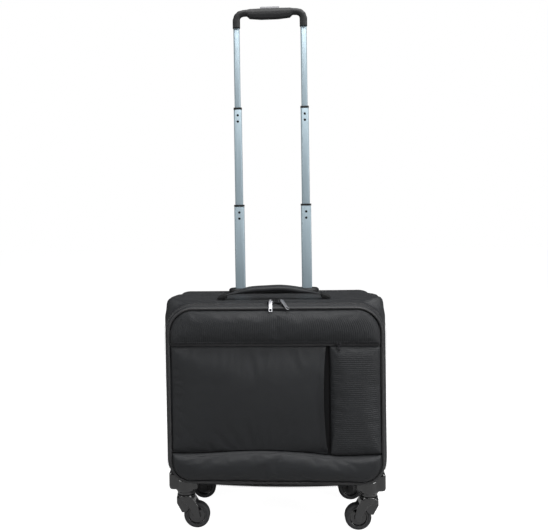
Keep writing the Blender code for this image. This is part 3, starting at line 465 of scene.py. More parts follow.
def rounded_sides(half, low, high, low_radius, high_radius):
    """A function that gives a rounded rectangle's left and right edges at a height."""

    def edges(z):
        pull = 0.0
        for gone, radius in ((low + low_radius - z, low_radius), (z - high + high_radius, high_radius)):
            if gone > 0:
                pull = radius - math.sqrt(max(radius * radius - gone * gone, 0.0))
        return pull - half, half - pull

    return edges


def rim_distance(spots):
    """How far each point of a lattice lies from the lattice's outline."""
    edge = np.concatenate([spots[0], spots[-1], spots[1:-1, 0], spots[1:-1, -1]])
    flat = spots.reshape(-1, 2)
    far = np.empty(len(flat))
    for start in range(0, len(flat), 2000):
        block = flat[start:start + 2000]
        far[start:start + 2000] = np.linalg.norm(block[:, None] - edge[None], axis=2).min(1)
    return far.reshape(spots.shape[:2])


SWELL_FRAMES = 20


def swollen(piece, held, pressure, cap, spare=0.004):
    """Lets a sheet of cloth swell against its sewn edge: held is 1 where it is sewn down."""
    mesh = piece.data
    before = np.zeros(len(mesh.vertices) * 3)
    mesh.vertices.foreach_get("co", before)
    group = piece.vertex_groups.new(name="sewn")
    for index, weight in enumerate(np.ravel(held)):
        if weight > 0.001:
            group.add([index], float(min(weight, 1.0)), "REPLACE")
    cloth = piece.modifiers.new("cloth", "CLOTH").settings
    cloth.quality = 6
    cloth.mass = 0.25
    cloth.tension_stiffness = cloth.compression_stiffness = 18
    cloth.shear_stiffness = 8
    cloth.bending_stiffness = 1.5
    cloth.shrink_min = -spare
    cloth.use_pressure = True
    cloth.uniform_pressure_force = pressure
    cloth.vertex_group_mass = "sewn"
    cloth.effector_weights.gravity = 0.0
    for number in range(1, SWELL_FRAMES + 1):
        scene.frame_set(number)
    graph = bpy.context.evaluated_depsgraph_get()
    after = np.zeros(len(before))
    piece.evaluated_get(graph).data.vertices.foreach_get("co", after)
    scene.frame_set(1)
    piece.modifiers.clear()
    piece.vertex_groups.clear()
    moved = (after - before).reshape(-1, 3)
    reach = np.linalg.norm(moved, axis=1, keepdims=True)
    moved *= cap * np.tanh(reach / cap) / np.maximum(reach, 1e-9)
    mesh.vertices.foreach_set("co", np.nan_to_num(before + moved.ravel()))
    mesh.update()
    return piece


def backed(piece, plane):
    """Closes a sheet of cloth with a rim and a flat back at y = plane."""
    work = bmesh.new()
    work.from_mesh(piece.data)
    loose = [edge for edge in work.edges if edge.is_boundary]
    rim = bmesh.ops.extrude_edge_only(work, edges=loose)["geom"]
    for point in (part for part in rim if isinstance(part, bmesh.types.BMVert)):
        point.co.y = plane
    bmesh.ops.contextual_create(work, geom=[part for part in rim if isinstance(part, bmesh.types.BMEdge)])
    bmesh.ops.recalc_face_normals(work, faces=work.faces)
    work.to_mesh(piece.data)
    work.free()
    piece.data.shade_smooth()
    return piece


back_low, back_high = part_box("back_panel")
BACK_BORDER = 0.016                  # of the line of stitches from the edge
CHANNEL = 0.026                      # half the width of each tube's channel

back_edges = rounded_sides(back_high.x, back_low.z, back_high.z, 0.040, 0.028)
back_spots = lattice(back_edges, back_low.z, back_high.z, 96, 80)
back_rim = rim_distance(back_spots)
back_rows, back_held = [], []
for spots, rims in zip(back_spots, back_rim):
    row, hold = [], []
    for (x, z), rim in zip(spots, rims):
        border = math.exp(-(((rim - BACK_BORDER) / 0.003) ** 2))
        seam = min(abs(abs(x) - TUBE_X - CHANNEL), abs(abs(x) - TUBE_X + CHANNEL))
        channel = math.exp(-((seam / 0.003) ** 2)) * (rim > BACK_BORDER)
        crown = 0.0016 * ease(rim / 0.010) - 0.0011 * max(border, channel)
        row.append((x, back_high.y - 0.0012 + crown, z))
        hold.append(max(rim < 0.001, 0.9 * border, 0.9 * channel))
    back_rows.append(row)
    back_held.append(hold)
back = skin("back_cloth", back_rows, (nylon,), flip=True)
swollen(back, back_held, 2.5, 0.0018, 0.008)
baked(modified(back, "SUBSURF", levels=1, render_levels=1))
backed(back, back_low.y)
fixed(back, "case", "black_nylon", "back_panel")


def corded(name, inset, radii, y, radius, materials, sides=10):
    """A round cord that follows the case's outline at one depth."""
    spots, outs = case_line(inset, radii, (SIDE_POINTS * 2, CORNER_POINTS * 2))
    rows = []
    for angle in np.radians(np.arange(0, 360, 360 / sides)):
        offset = radius * math.cos(angle)
        back = y + radius * math.sin(angle)
        rows.append([(x + a * offset, back, z + b * offset) for (x, z), (a, b) in zip(spots, outs)])
    return skin(name, rows, materials, ring=True, loop=True)


piping = Finish("black_piping_cord", sheen_weight=0.12, specular_ior_level=0.5)
twist = piping.cloth.part(0) + piping.cloth.part(1) * 0.8
piping_yarn = twist.wave(0.0011)
piping.feed("Base Color", piping_yarn.colours((0.0035, 0.0035, 0.0042), (0.0085, 0.0085, 0.0098)))
piping.feed("Roughness", piping.place.cloud(60.0).within(0.38, 0.55))
piping.bump(piping_yarn + piping.place.cloud(80.0) * 0.6, 0.00016)
piping = piping.material

rear_piping_low, rear_piping_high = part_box("rear_piping")
cord_radius = (rear_piping_high.y - rear_piping_low.y) / 2
rear_cord_y = (rear_piping_low.y + rear_piping_high.y) / 2
fixed(
    corded("rear_piping_cord", 1.2 * cord_radius, REAR_RADII, rear_cord_y, cord_radius, (piping,)),
    "case", "black_piping", "rear_piping",
)


def run_tree():
    """A Geometry Nodes tree that repeats a small unit along paths, turned to each path's own out."""
    tree = bpy.data.node_groups.new("sewn_run", "GeometryNodeTree")
    sockets = tree.interface
    sockets.new_socket("Paths", in_out="INPUT", socket_type="NodeSocketGeometry")
    sockets.new_socket("Unit", in_out="INPUT", socket_type="NodeSocketObject")
    sockets.new_socket("Spacing", in_out="INPUT", socket_type="NodeSocketFloat")
    sockets.new_socket("Finish", in_out="INPUT", socket_type="NodeSocketMaterial")
    sockets.new_socket("Run", in_out="OUTPUT", socket_type="NodeSocketGeometry")

    def node(kind, settings=(), **links):
        made = tree.nodes.new(kind)
        for name, value in dict(settings).items():
            setattr(made, name, value)
        for name, source in links.items():
            tree.links.new(source, made.inputs[name.replace("_", " ")])
        return made

    given = node("NodeGroupInput").outputs
    curve = node("GeometryNodeMeshToCurve", Mesh=given["Paths"])
    spaced = node(
        "GeometryNodeResampleCurve", {"mode": "LENGTH"},
        Curve=curve.outputs[0], Length=given["Spacing"],
    )
    out = node("GeometryNodeInputNamedAttribute", {"data_type": "FLOAT_VECTOR"})
    out.inputs["Name"].default_value = "out"
    along = node("GeometryNodeInputTangent")
    first = node("FunctionNodeAlignRotationToVector", {"axis": "X"}, Vector=along.outputs[0])
    second = node(
        "FunctionNodeAlignRotationToVector", {"axis": "Z", "pivot_axis": "X"},
        Rotation=first.outputs[0], Vector=out.outputs[0],
    )
    unit = node("GeometryNodeObjectInfo", Object=given["Unit"])
    placed = node(
        "GeometryNodeInstanceOnPoints",
        Points=spaced.outputs[0], Instance=unit.outputs["Geometry"], Rotation=second.outputs[0],
    )
    real = node("GeometryNodeRealizeInstances", Geometry=placed.outputs[0])
    painted = node("GeometryNodeSetMaterial", Geometry=real.outputs[0], Material=given["Finish"])
    node("NodeGroupOutput", Run=painted.outputs[0])
    return tree


sewn_run = run_tree()


def run_of(name, paths, unit, spacing, surface):
    """Units repeated along paths, each a list of (place, out) and whether it is closed."""
    mesh = bpy.data.meshes.new(name)
    places, edges, outs = [], [], []
    for points, closed in paths:
        start = len(places)
        places += [tuple(place) for place, _ in points]
        outs += [tuple(out) for _, out in points]
        edges += [(start + i, start + i + 1) for i in range(len(points) - 1)]
        if closed:
            edges.append((len(places) - 1, start))
    mesh.from_pydata(places, edges, [])
    mesh.attributes.new("out", "FLOAT_VECTOR", "POINT").data.foreach_set("vector", np.ravel(outs))
    made = as_object(name, mesh)
    runner = made.modifiers.new("run", "NODES")
    runner.node_group = sewn_run
    values = {"Unit": unit, "Spacing": spacing, "Finish": surface}
    for socket in sewn_run.interface.items_tree:
        if socket.name in values:
            runner[socket.identifier] = values[socket.name]
    return baked(made, 60)


def capsule(name, length, radius, around=6):
    """A short thread lying along X, in a few dozen faces."""
    rows = []
    for share, size in ((-1, 0.25), (-0.8, 0.8), (0, 1.0), (0.8, 0.8), (1, 0.25)):
        rows.append([
            (share * length / 2, size * radius * math.cos(a), size * radius * math.sin(a))
            for a in np.arange(around) * 2 * math.pi / around
        ])
    made = skin(name, rows, (), ring=True, ends=True)
    made.hide_render = True
    return made


thread = Finish("black_thread", roughness=0.6)
thread_ply = (thread.place.part(0) + thread.place.part(2)).wave(0.0006)
thread.feed("Base Color", thread_ply.colours((0.010, 0.010, 0.012), (0.035, 0.035, 0.039)))
thread.bump(thread_ply, 0.00008)
thread = thread.material

STITCH = 0.0024
THREAD_RADIUS = 0.00032
STITCH_PITCH = 0.0034
stitch = capsule("stitch_unit", STITCH, THREAD_RADIUS)
BACKWARD, FORWARD = Vector((0, 1, 0)), Vector((0, -1, 0))


def channel_seams():
    """The lines of stitches beside the two channels that the tubes run in."""
    reach = BACK_BORDER + 0.002
    for side in (-1, 1):
        for edge in (-CHANNEL, CHANNEL):
            x = side * TUBE_X + edge
            yield [
                (Vector((x, back_high.y - 0.0003, z)), BACKWARD)
                for z in (back_low.z + reach, back_high.z - reach)
            ], False


back_border, _ = case_line(0.0065 + BACK_BORDER, REAR_RADII)
border_path = [(Vector((x, back_high.y - 0.0003, z)), BACKWARD) for x, z in back_border]
back_paths = [(border_path, True), *channel_seams()]
fixed(run_of("back_stitches", back_paths, stitch, STITCH_PITCH, thread), "case", "black_nylon")

# ---- Zip round the opening -----------------------------------------------------------------------
# Two woven tapes, one sewn to the shell and one to the lid, meet in a coil of moulded teeth that runs
# up both sides and over the top. The lid's edge is a gusset, and cloth hinges it along the bottom.

tape = Finish("zip_tape_weave", sheen_weight=0.1, roughness=0.7)
tape_rib = tape.cloth.part(1).wave(0.0006)
tape.feed("Base Color", tape_rib.colours((0.004, 0.004, 0.005), (0.010, 0.010, 0.012)))
tape.bump(tape_rib, 0.00012)
tape = tape.material
coil = Finish("zip_coil_nylon", specular_ior_level=0.6)
coil.feed("Base Color", coil.place.cloud(90.0).colours((0.010, 0.010, 0.011), (0.026, 0.026, 0.028)))
coil.feed("Roughness", coil.place.cloud(60.0).within(0.30, 0.42))
coil = coil.material
TOOTH_PITCH = 0.0016
tooth = capsule("tooth_unit", 0.0011, 0.00055)
ZIP_END = 0.030                      # height at which the teeth stop, above the hinge side


def hoop(name, profile, radii, materials):
    """A closed band round the case: profile gives (depth, inset) corners in order."""
    rows = []
    for depth, inset in profile:
        spots, _ = case_line(inset, radii)
        rows.append([(x, cad_front_y + depth, z) for x, z in spots])
    return skin(name, rows, materials, ring=True, loop=True, flip=True)


piping_low, piping_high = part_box("front_piping")
cad_front_y = (piping_low.y + piping_high.y) / 2


def node_depths(node):
    low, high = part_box(node)
    return low.y - cad_front_y, high.y - cad_front_y


for half, node, body, insets in (
    ("case", "zip_half_case", "case", (0.0042, 0.0030)),
    ("lid", "zip_half_lid", "lid", (0.0055, 0.0043)),
):
    near, far = node_depths(node)
    front, rear = insets
    band = [(near, front + 0.0024), (near, front), ((near + far) / 2, (front + rear) / 2 - 0.0003)]
    band += [(far, rear), (far, rear + 0.0024)]
    strip = hoop(f"zip_tape_{half}", band, FRONT_RADII, (tape,))
    modified(strip, "BEVEL", width=0.0003, segments=2)
    fixed(baked(strip, 50), body, "zip_tape", node)
    edge = far if half == "lid" else near
    spots, outs = case_line(front - 0.0006, FRONT_RADII)
    path = [
        (Vector((x, cad_front_y + edge, z)), Vector((a, 0, b)))
        for (x, z), (a, b) in zip(spots, outs) if z > BASE + ZIP_END
    ]
    fixed(run_of(f"zip_teeth_{half}", [(path, False)], tooth, TOOTH_PITCH, coil), body, "zip_tape")

ring_near, ring_far = node_depths("lid_ring")
gusset = [(ring_near, 0.0130), (ring_near, 0.0097), (ring_near + 0.0012, 0.0084)]
gusset += [(ring_far - 0.0022, 0.0060), (ring_far - 0.0004, 0.0052), (ring_far, 0.0058), (ring_far, 0.0125)]
fixed(hoop("lid_gusset_cloth", gusset, FRONT_RADII, (nylon,)), "lid", "black_nylon", "lid_ring")

spots, outs = case_line(0.0068, FRONT_RADII)
seam_y = cad_front_y + ring_far - 0.0032
gusset_seam = [(Vector((x, seam_y, z)), Vector((a, 0, b))) for (x, z), (a, b) in zip(spots, outs)]
gusset_stitches = run_of("lid_gusset_stitches", [(gusset_seam, True)], stitch, STITCH_PITCH, thread)
fixed(gusset_stitches, "lid", "black_nylon")
shell_seams = []
for depth, radii, inset in (
    (0.0045, FRONT_RADII, 0.0012), (0.0300, REAR_RADII, 0.0), (0.1765, REAR_RADII, 0.0),
):
    inner, outs = case_line(inset - 0.0010, radii)
    seam = []
    for (x, z), (a, b) in zip(inner, outs):
        sag = -SAG * max(b, 0.0) * (1 - min(abs(x) / 0.19, 1.0) ** 2) * (depth > 0.02)
        sag += BELLY * max(-b, 0.0) * (1 - min(abs(x) / 0.16, 1.0) ** 2)
        seam.append((Vector((x + a * sag, SHELL_FRONT + depth, z + b * sag)), Vector((a, 0, b))))
    shell_seams.append((seam, True))
fixed(run_of("shell_stitches", shell_seams, stitch, STITCH_PITCH, thread), "case", "black_nylon")

PIPING_INSET = 0.011                 # of the front piping's middle from the case's outline
PIPING_RADIUS = 0.0025
HINGE_REACH = 0.150                  # of the hinge cloth to each side
hinge_rows = []
for depth, inset in ((ring_far - 0.003, 0.0058), (0.0105, 0.0046), (0.0140, 0.0036), (0.0185, 0.0042)):
    rise = BASE + inset + 0.0005
    hinge_rows.append([(x, cad_front_y + depth, rise) for x in np.linspace(-HINGE_REACH, HINGE_REACH, 60)])
fold = skin("lid_hinge_cloth", hinge_rows, (nylon,))
modified(fold, "SOLIDIFY", thickness=0.0008, offset=1.0)
baked(fold)
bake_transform(fold)

fixed(
    corded("front_piping_cord", PIPING_INSET, FRONT_RADII, cad_front_y, PIPING_RADIUS, (piping,)),
    "lid", "black_piping", "front_piping",
)
# Black backing cloth for the lid board, the inner side of the large pocket and the rivets. Its colour is
# set darker than the case nylon as painted shade, so the gaps between the lid's panels and beside the
# pocket's open edge read dark.
shade_dark_backing = Finish("dark_backing_cloth", roughness=0.85, specular_ior_level=0.2)
backing_yarn = shade_dark_backing.place.part(0).wave(0.0008) * 0.5 + shade_dark_backing.place.part(2).wave(0.0008) * 0.5
shade_dark_backing.feed("Base Color", backing_yarn.colours((0.0015, 0.0015, 0.0018), (0.0035, 0.0035, 0.0040)))
shade_dark_backing.bump(backing_yarn, 0.00012)
shade_dark_backing = shade_dark_backing.material
dressed("lid_board", shade_dark_backing)

# ---- Bands and pockets on the lid ----------------------------------------------------------------
# Padded nylon bands cross the lid at top and bottom. Between them a bellied pocket reaches most of
# the way across, its open edge standing off beside a narrower flat pocket.

ribbed_nylon = woven_nylon(
    "ribbed_nylon", (0.0042, 0.0048, 0.0058), (0.0115, 0.0128, 0.0150), rib=(0.0, 1.7)
)
band_nylon = woven_nylon(
    "band_nylon", (0.0040, 0.0046, 0.0056), (0.0104, 0.0116, 0.0137), rib=(1.4, 0.0)
)
PANEL_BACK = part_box("upper_band")[1].y
PANEL_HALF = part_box("upper_band")[1].x
PANEL_LOW, PANEL_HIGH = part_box("bottom_band")[0].z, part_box("upper_band")[1].z
panel_edges = rounded_sides(PANEL_HALF, PANEL_LOW, PANEL_HIGH, 0.0372, 0.0442)


def pad(name, node, material, swell, shape, wide=84, tall=36, pressure=4.0, low_edge=None, high_edge=None):
    """A padded panel over a node's place: shape(x, z, rim) is how far it stands out from the sewn edge."""
    low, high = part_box(node)
    spots = []
    for share in np.linspace(0, 1, tall):
        row = []
        z0 = low.z + (high.z - low.z) * share
        left, right = panel_edges(z0)
        left, right = max(left, low.x), min(right, high.x)
        for x in np.linspace(left, right, wide):
            bottom = low_edge(x) if low_edge else 0.0
            upper = high_edge(x) if high_edge else 0.0
            row.append((x, z0 + bottom * (1 - share) + upper * share))
        spots.append(row)
    spots = np.array(spots)
    rims = rim_distance(spots)
    rows, held = [], []
    for row_spots, row_rims in zip(spots, rims):
        row, hold = [], []
        for (x, z), rim in zip(row_spots, row_rims):
            crinkle = noise.noise(Vector((x * 30, 3.1, z * 46)))
            crinkle += 0.6 * noise.noise(Vector((x * 70, 1.7, z * 90)))
            out = shape(x, z, rim) + 0.0003 * crinkle * ease(rim / 0.008)
            row.append((x, low.y + swell - out, z))
            hold.append(1.0 if rim < 1e-6 else 0.0)
        rows.append(row)
        held.append(hold)
    made = skin(name, rows, (material,))
    swollen(made, held, pressure, 0.0045)
    baked(modified(made, "SUBSURF", levels=1, render_levels=1))
    return backed(made, high.y)


def rolled(rim, width):
    """The round of a sewn edge, from 0 at the seam to 1 at width inside it."""
    share = min(max(rim / width, 0.0), 1.0)
    return math.sqrt(1 - (1 - share) ** 2)


upper_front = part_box("upper_band")[0].y
upper = pad(
    "upper_band_cloth", "upper_band", band_nylon, 0.0075,
    lambda x, z, rim: 0.0060 * rolled(rim, 0.014) + 0.0042 * rolled(rim, 0.032),
    low_edge=lambda x: -0.0058,
)
fixed(upper, "lid", "black_nylon", "upper_band")


def band_wave(x):
    """The uneven top edge of the bottom band, sewn to follow the pockets' fullness."""
    return 0.0036 * math.cos(x * 21 + 0.5) - 0.0022 * ease((x - 0.06) / 0.05) - 0.001


bottom = pad(
    "bottom_band_cloth", "bottom_band", nylon, 0.0075,
    lambda x, z, rim: 0.0060 * rolled(rim, 0.012) + 0.0036 * rolled(rim, 0.028), high_edge=band_wave,
)
fixed(bottom, "lid", "black_nylon", "bottom_band")

side = pad(
    "side_pocket_cloth", "side_pocket", ribbed_nylon, 0.0058,
    lambda x, z, rim: 0.0036 * rolled(rim, 0.009) + 0.0022 * rolled(rim, 0.030),
    wide=40, tall=84, low_edge=lambda x: band_wave(x) + 0.0012,
)
fixed(side, "lid", "black_nylon", "side_pocket")

large_low, large_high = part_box("large_pocket")


def pocket_edge(z):
    """How far the pocket's open edge bows away at a height."""
    share = (large_high.z - z) / (large_high.z - large_low.z)
    return -0.0075 * math.sin(math.pi * min(max(share * 1.05, 0.0), 1.0)) ** 0.7


pocket_rows, pocket_held = [], []
for share in np.linspace(0, 1, 88):
    row, hold = [], []
    for across in np.linspace(0, 1, 96):
        z = large_low.z + (large_high.z - large_low.z) * share
        right = large_high.x + pocket_edge(z)
        x = large_low.x + (right - large_low.x) * across
        z += (band_wave(x) + 0.001) * (1 - share)
        rim = min(x - large_low.x, z - large_low.z, large_high.z - z)
        curl = math.exp(-(((right - x) / 0.006) ** 2)) * math.sin(math.pi * share) ** 0.5
        belly = math.sin(math.pi * share) * ease(across / 0.5)
        crinkle = noise.noise(Vector((x * 22, 5.2, z * 26)))
        crinkle += 0.5 * noise.noise(Vector((x * 60, 8.7, z * 60)))
        out = 0.0040 * rolled(rim, 0.012) + 0.0062 * belly + 0.0042 * curl
        out += 0.0004 * crinkle * ease(rim / 0.01)
        row.append((x, PANEL_BACK - 0.0004 - out, z))
        hold.append(1.0 if share in (0.0, 1.0) or across == 0.0 else 0.0)
    pocket_rows.append(row)
    pocket_held.append(hold)
pocket = skin("large_pocket_cloth", pocket_rows, (nylon, shade_dark_backing))
swollen(pocket, pocket_held, 2.5, 0.0035)
modified(pocket, "SUBSURF", levels=1, render_levels=1)
modified(pocket, "SOLIDIFY", thickness=0.0012, offset=-1.0, material_offset=1, material_offset_rim=0)
fixed(baked(pocket), "lid", "black_nylon", "large_pocket")

pocket_tape_low, pocket_tape_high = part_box("pocket_zip")
middle_z = (pocket_tape_low.z + pocket_tape_high.z) / 2
tape_rows = []
for y, z in (
    (pocket_tape_high.y, pocket_tape_low.z), (pocket_tape_low.y + 0.0008, pocket_tape_low.z),
    (pocket_tape_low.y, middle_z - 0.0012), (pocket_tape_low.y, middle_z + 0.0012),
    (pocket_tape_low.y + 0.0008, pocket_tape_high.z), (pocket_tape_high.y, pocket_tape_high.z),
):
    tape_rows.append([(x, y, z) for x in np.linspace(pocket_tape_low.x, pocket_tape_high.x, 120)])
pocket_tape = skin("pocket_zip_tape", tape_rows, (tape,))
modified(pocket_tape, "SOLIDIFY", thickness=0.0006, offset=-1.0)
fixed(baked(pocket_tape), "lid", "zip_tape", "pocket_zip")
teeth_line = [
    (Vector((x, pocket_tape_low.y, middle_z)), FORWARD)
    for x in (pocket_tape_low.x + 0.002, pocket_tape_high.x - 0.002)
]
fixed(run_of("pocket_zip_teeth", [(teeth_line, False)], tooth, TOOTH_PITCH, coil), "lid", "zip_tape")


def seam_under(node, z_inset, y, edge):
    """A line of stitches along a band, z_inset above its lower edge or below its upper one."""
    low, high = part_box(node)
    z = low.z + z_inset if z_inset > 0 else high.z + z_inset
    left, right = panel_edges(z)
    left, right = max(left, low.x) + edge, min(right, high.x) - edge
    line = []
    for x in np.linspace(left, right, 60):
        wave = band_wave(x) if node == "bottom_band" else 0
        line.append((Vector((x, y, z + wave)), FORWARD))
    return line, False


front_seams = [
    seam_under("upper_band", 0.0010, upper_front - 0.0006, 0.010),
    seam_under("bottom_band", -0.0030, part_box("bottom_band")[0].y + 0.0030, 0.006),
]
fixed(run_of("front_stitches", front_seams, stitch, STITCH_PITCH, thread), "lid", "black_nylon")

# ---- Zip sliders and pulls -----------------------------------------------------------------------
# Dark die-cast sliders with an eye, and flat plated pulls that hang from them. The two on the main
# zip meet at the middle of the top, where their eyes take one small padlock.


def refined(node, body, slot, material, bevel=0.0003, angle=30, cast=0.0, passes=6):
    """A rigid piece with the frame node's shape, its edges broken and its rounds smooth.

    cast is the grain of a casting, whose every corner and hollow is rounded.
    """
    work = bmesh.new()
    work.from_mesh(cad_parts[node].data)
    bmesh.ops.remove_doubles(work, verts=work.verts, dist=0.00001)
    bmesh.ops.dissolve_limit(work, angle_limit=math.radians(1.0), verts=work.verts, edges=work.edges)
    bmesh.ops.recalc_face_normals(work, faces=work.faces)
    mesh = bpy.data.meshes.new(f"{node}_finished")
    work.to_mesh(mesh)
    work.free()
    made = as_object(mesh.name, mesh, material)
    if cast:
        modified(made, "REMESH", mode="VOXEL", voxel_size=cast, use_smooth_shade=True)
        modified(made, "SMOOTH", factor=0.5, iterations=passes)
        fixed(baked(made, 180), body, slot, node)
        return made
    if bevel:
        modified(
            made, "BEVEL", width=bevel, segments=2, limit_method="ANGLE",
            angle_limit=math.radians(angle), use_clamp_overlap=True,
        )
        modified(made, "WEIGHTED_NORMAL", keep_sharp=True)
    return fixed(baked(made, 44), body, slot, node)


def solid_finish(name, tone, dark, light, polish, low, high, grain, depth, **fixed_levels):
    """A moulded or plated finish: clouds of colour, of roughness from low to high, and of grain.

    tone, polish and grain are each a cloud's scale and, where it is not 3, its detail.
    """
    made = Finish(name, **fixed_levels)
    made.feed("Base Color", made.place.cloud(*tone).colours(dark, light))
    made.feed("Roughness", made.place.cloud(*polish).within(low, high))
    made.bump(made.place.cloud(*grain), depth)
    return made.material


nickel = solid_finish(
    "bright_nickel", (70.0,), (0.20, 0.20, 0.21), (0.38, 0.38, 0.40),
    (240.0, 5.0), 0.34, 0.50, (500.0,), 0.00003, metallic=1.0,
)
gunmetal = solid_finish(
    "gunmetal_plate", (90.0,), (0.035, 0.035, 0.038), (0.080, 0.080, 0.086),
    (240.0, 5.0), 0.30, 0.45, (500.0,), 0.00003, metallic=1.0,
)
for node, body, metal in (
    ("zip_left_slider", "zip_left", gunmetal), ("zip_right_slider", "zip_right", gunmetal),
    ("pocket_slider", "pocket_zip_slider", gunmetal), ("zip_left_pull", "zip_left_tab", nickel),
    ("zip_right_pull", "zip_right_tab", nickel), ("pocket_pull", "pocket_zip_tab", gunmetal),
):
    refined(node, body, "nickel_pull", metal, bevel=0.0002)

# ---- Carry handle --------------------------------------------------------------------------------
# A padded grip wrapped in nylon bows up between two flat moulded anchors on the top. Its ends taper
# to flat straps, and the wrap closes along the middle.

handle_low, handle_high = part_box("carry_handle")
handle_y = (handle_low.y + handle_high.y) / 2
HANDLE_HALF = handle_high.x
HANDLE_FOOT = 0.447                  # height of its ends
HANDLE_ARCH = 0.012                  # rise of its middle above them


def handle_shape(x):
    """How full the padding is at x, from 0 to 1, and how high the handle's middle line is."""
    share = abs(x) / HANDLE_HALF
    return 1 - ease((share - 0.50) / 0.45), HANDLE_FOOT + HANDLE_ARCH * (1 - share**2)


handle_rows = []
for x in np.linspace(-HANDLE_HALF, HANDLE_HALF, 96):
    full, middle = handle_shape(x)
    thick = 0.0015 + 0.0048 * full
    broad = 0.0110 + 0.0040 * full
    middle += 0.0008 * noise.noise(Vector((x * 30, 0, 0)))
    row = []
    for turn in np.radians(np.arange(0, 360, 12)):
        c, s = math.cos(turn), math.sin(turn)
        crease = 1 - 0.10 * math.exp(-((c / 0.10) ** 2)) * (s > 0)
        row.append((
            x, handle_y + broad * math.copysign(abs(c) ** 0.7, c),
            middle + thick * math.copysign(abs(s) ** 0.8, s) * crease,
        ))
    handle_rows.append(row)
handle = skin("carry_handle_wrap", handle_rows, (nylon,), ring=True, ends=True)
baked(handle)
fixed(handle, "carry_strap", "black_nylon", "carry_handle")
handle_seam = []
for side in (-1, 1):
    line = []
    for x in np.linspace(-HANDLE_HALF * 0.9, HANDLE_HALF * 0.9, 60):
        full, middle = handle_shape(x)
        seam_side = handle_y + side * (0.0104 + 0.0036 * full)
        line.append((Vector((x, seam_side, middle + 0.0016)), Vector((0, side * 0.8, 0.6))))
    handle_seam.append((line, False))
handle_stitches = run_of("carry_handle_stitches", handle_seam, stitch, STITCH_PITCH, thread)
fixed(handle_stitches, "carry_strap", "black_nylon")

matt = solid_finish(
    "matt_black_moulding", (140.0, 4.0), (0.0045, 0.0047, 0.0052), (0.0095, 0.0098, 0.0105),
    (50.0,), 0.46, 0.60, (1600.0, 2.0), 0.00010, specular_ior_level=0.32,
)
for end in ("left", "right"):
    refined(f"handle_anchor_{end}", "case", "matt_black_plastic", matt, 0.0006)

# ---- Telescopic handle ---------------------------------------------------------------------------
# Two pairs of flat anodised tubes draw out of a moulded frame in three stages, each through a small
# bush, with two blind rivets below it. They carry a moulded loop with a grey release button.

anodised = Finish("satin_anodised_tube", metallic=0.55)
streak = anodised.place.stretched((900.0, 900.0, 9.0)).cloud(1.0, 4.0)
anodised.feed("Base Color", streak.colours((0.25, 0.32, 0.36), (0.36, 0.44, 0.49)))
anodised.feed("Roughness", streak.within(0.42, 0.54))
anodised.bump(streak, 0.00003)
anodised = anodised.material
RIVET_DROPS = (0.0250, 0.0120)       # below the top of the stage
rivet = skin(
    "rivet_unit",
    [[(r * math.cos(a), r * math.sin(a), h) for a in np.arange(12) * math.pi / 6] for r, h in (
        (0.0026, -0.0002), (0.0026, 0.0001), (0.0021, 0.00025), (0.0006, 0.0003))],
    (), ring=True, ends=True,
)
rivet.hide_render = True
for side in ("left", "right"):
    refined(f"fixed_tube_{side}", "case", "anodised_tube", anodised, 0)
    for stage in (1, 2, 3):
        refined(f"stage_{stage}_tube_{side}", f"stage_{stage}", "anodised_tube", anodised, 0.0003)
        if stage < 3:
            refined(f"stage_{stage}_bushing_{side}", f"stage_{stage}", "matt_black_plastic", matt, 0.0002)
for stage in (1, 2):
    rivets = []
    for side in ("left", "right"):
        low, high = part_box(f"stage_{stage}_tube_{side}")
        x = (low.x + high.x) / 2
        place = [(Vector((x, low.y + 0.0001, high.z - drop)), FORWARD) for drop in RIVET_DROPS]
        rivets.append((place, False))
    riveted = run_of(f"stage_{stage}_rivets", rivets, rivet, RIVET_DROPS[0] - RIVET_DROPS[1], shade_dark_backing)
    fixed(riveted, f"stage_{stage}", "matt_black_plastic")

refined("trolley_bezel", "case", "matt_black_plastic", matt, 0.0010)
refined("foot_bracket", "case", "matt_black_plastic", matt, 0.0004)
refined("trolley_grip", "stage_3", "matt_black_plastic", matt, cast=0.0007, passes=5)
grey = solid_finish(
    "grey_moulding", (80.0,), (0.17, 0.17, 0.18), (0.25, 0.25, 0.26),
    (120.0,), 0.38, 0.52, (1500.0,), 0.00005,
)
refined("release_button", "button", "grey_button", grey, 0.0012)

# ---- Corner guards and casters -------------------------------------------------------------------
# Each bottom corner has a moulded guard with the cup of a swivel caster. The fork turns on its stem
# and holds a rubber-tyred wheel.

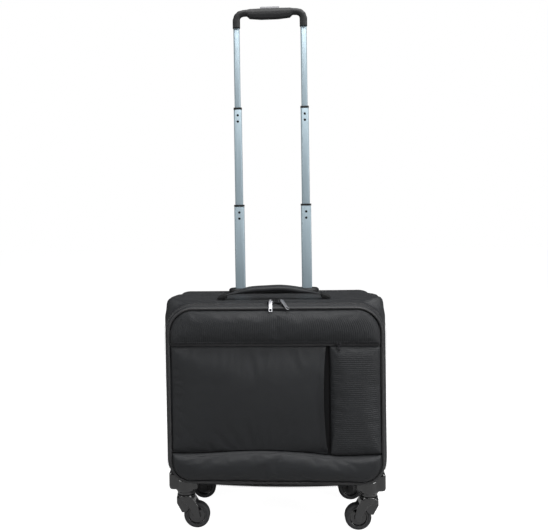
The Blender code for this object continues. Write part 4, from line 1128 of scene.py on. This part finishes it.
gloss = solid_finish(
    "gloss_black_moulding", (60.0,), (0.0045, 0.0045, 0.0050), (0.0090, 0.0090, 0.0098),
    (90.0, 4.0), 0.16, 0.24, (300.0,), 0.00002,
    coat_weight=0.9, coat_roughness=0.10, specular_ior_level=0.6,
)
rubber = solid_finish(
    "grey_rubber", (120.0, 4.0), (0.014, 0.014, 0.015), (0.034, 0.034, 0.036),
    (60.0,), 0.50, 0.68, (1400.0,), 0.00010, specular_ior_level=0.4,
)


def turned(name, middle, profile, material, around=64):
    """A ring turned about the Y axis through middle: profile gives (radius, y) corners in order."""
    rows = []
    for radius, y in profile:
        rows.append([
            (middle.x + radius * math.cos(a), middle.y + y, middle.z + radius * math.sin(a))
            for a in np.arange(around) * 2 * math.pi / around
        ])
    return skin(name, rows, (material,), ring=True, loop=True)


TYRE_WALL = 0.0065

for corner in ("front_left", "front_right", "rear_left", "rear_right"):
    moulding = "gloss_black_plastic"
    refined(f"corner_guard_{corner}", "case", moulding, gloss, cast=0.0009, passes=14)
    refined(f"caster_fork_{corner}", f"swivel_{corner}", moulding, gloss, cast=0.0007, passes=24)
    refined(f"wheel_hub_{corner}", f"wheel_{corner}", moulding, gloss, 0.0004)
    low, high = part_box(f"tyre_{corner}")
    middle, radius, half = (low + high) / 2, (high.z - low.z) / 2, (high.y - low.y) / 2
    bore = radius - TYRE_WALL
    section = [(bore, half - 0.0006), (bore, 0.0006 - half), (bore + 0.0008, -half)]
    section += [(radius - 0.0034, -half), (radius - 0.0012, 0.0011 - half), (radius, 0.0034 - half)]
    section += [(radius, -0.0011), (radius - 0.0009, -0.0006), (radius - 0.0009, 0.0006), (radius, 0.0011)]
    section += [(radius, half - 0.0034), (radius - 0.0012, half - 0.0011), (radius - 0.0034, half)]
    section += [(bore + 0.0008, half)]
    tyre = turned(f"tyre_{corner}_rubber", middle, section, rubber)
    fixed(baked(tyre, 50), f"wheel_{corner}", "grey_tyre", f"tyre_{corner}")

for unit in (stitch, tooth, rivet):
    bpy.data.objects.remove(unit)
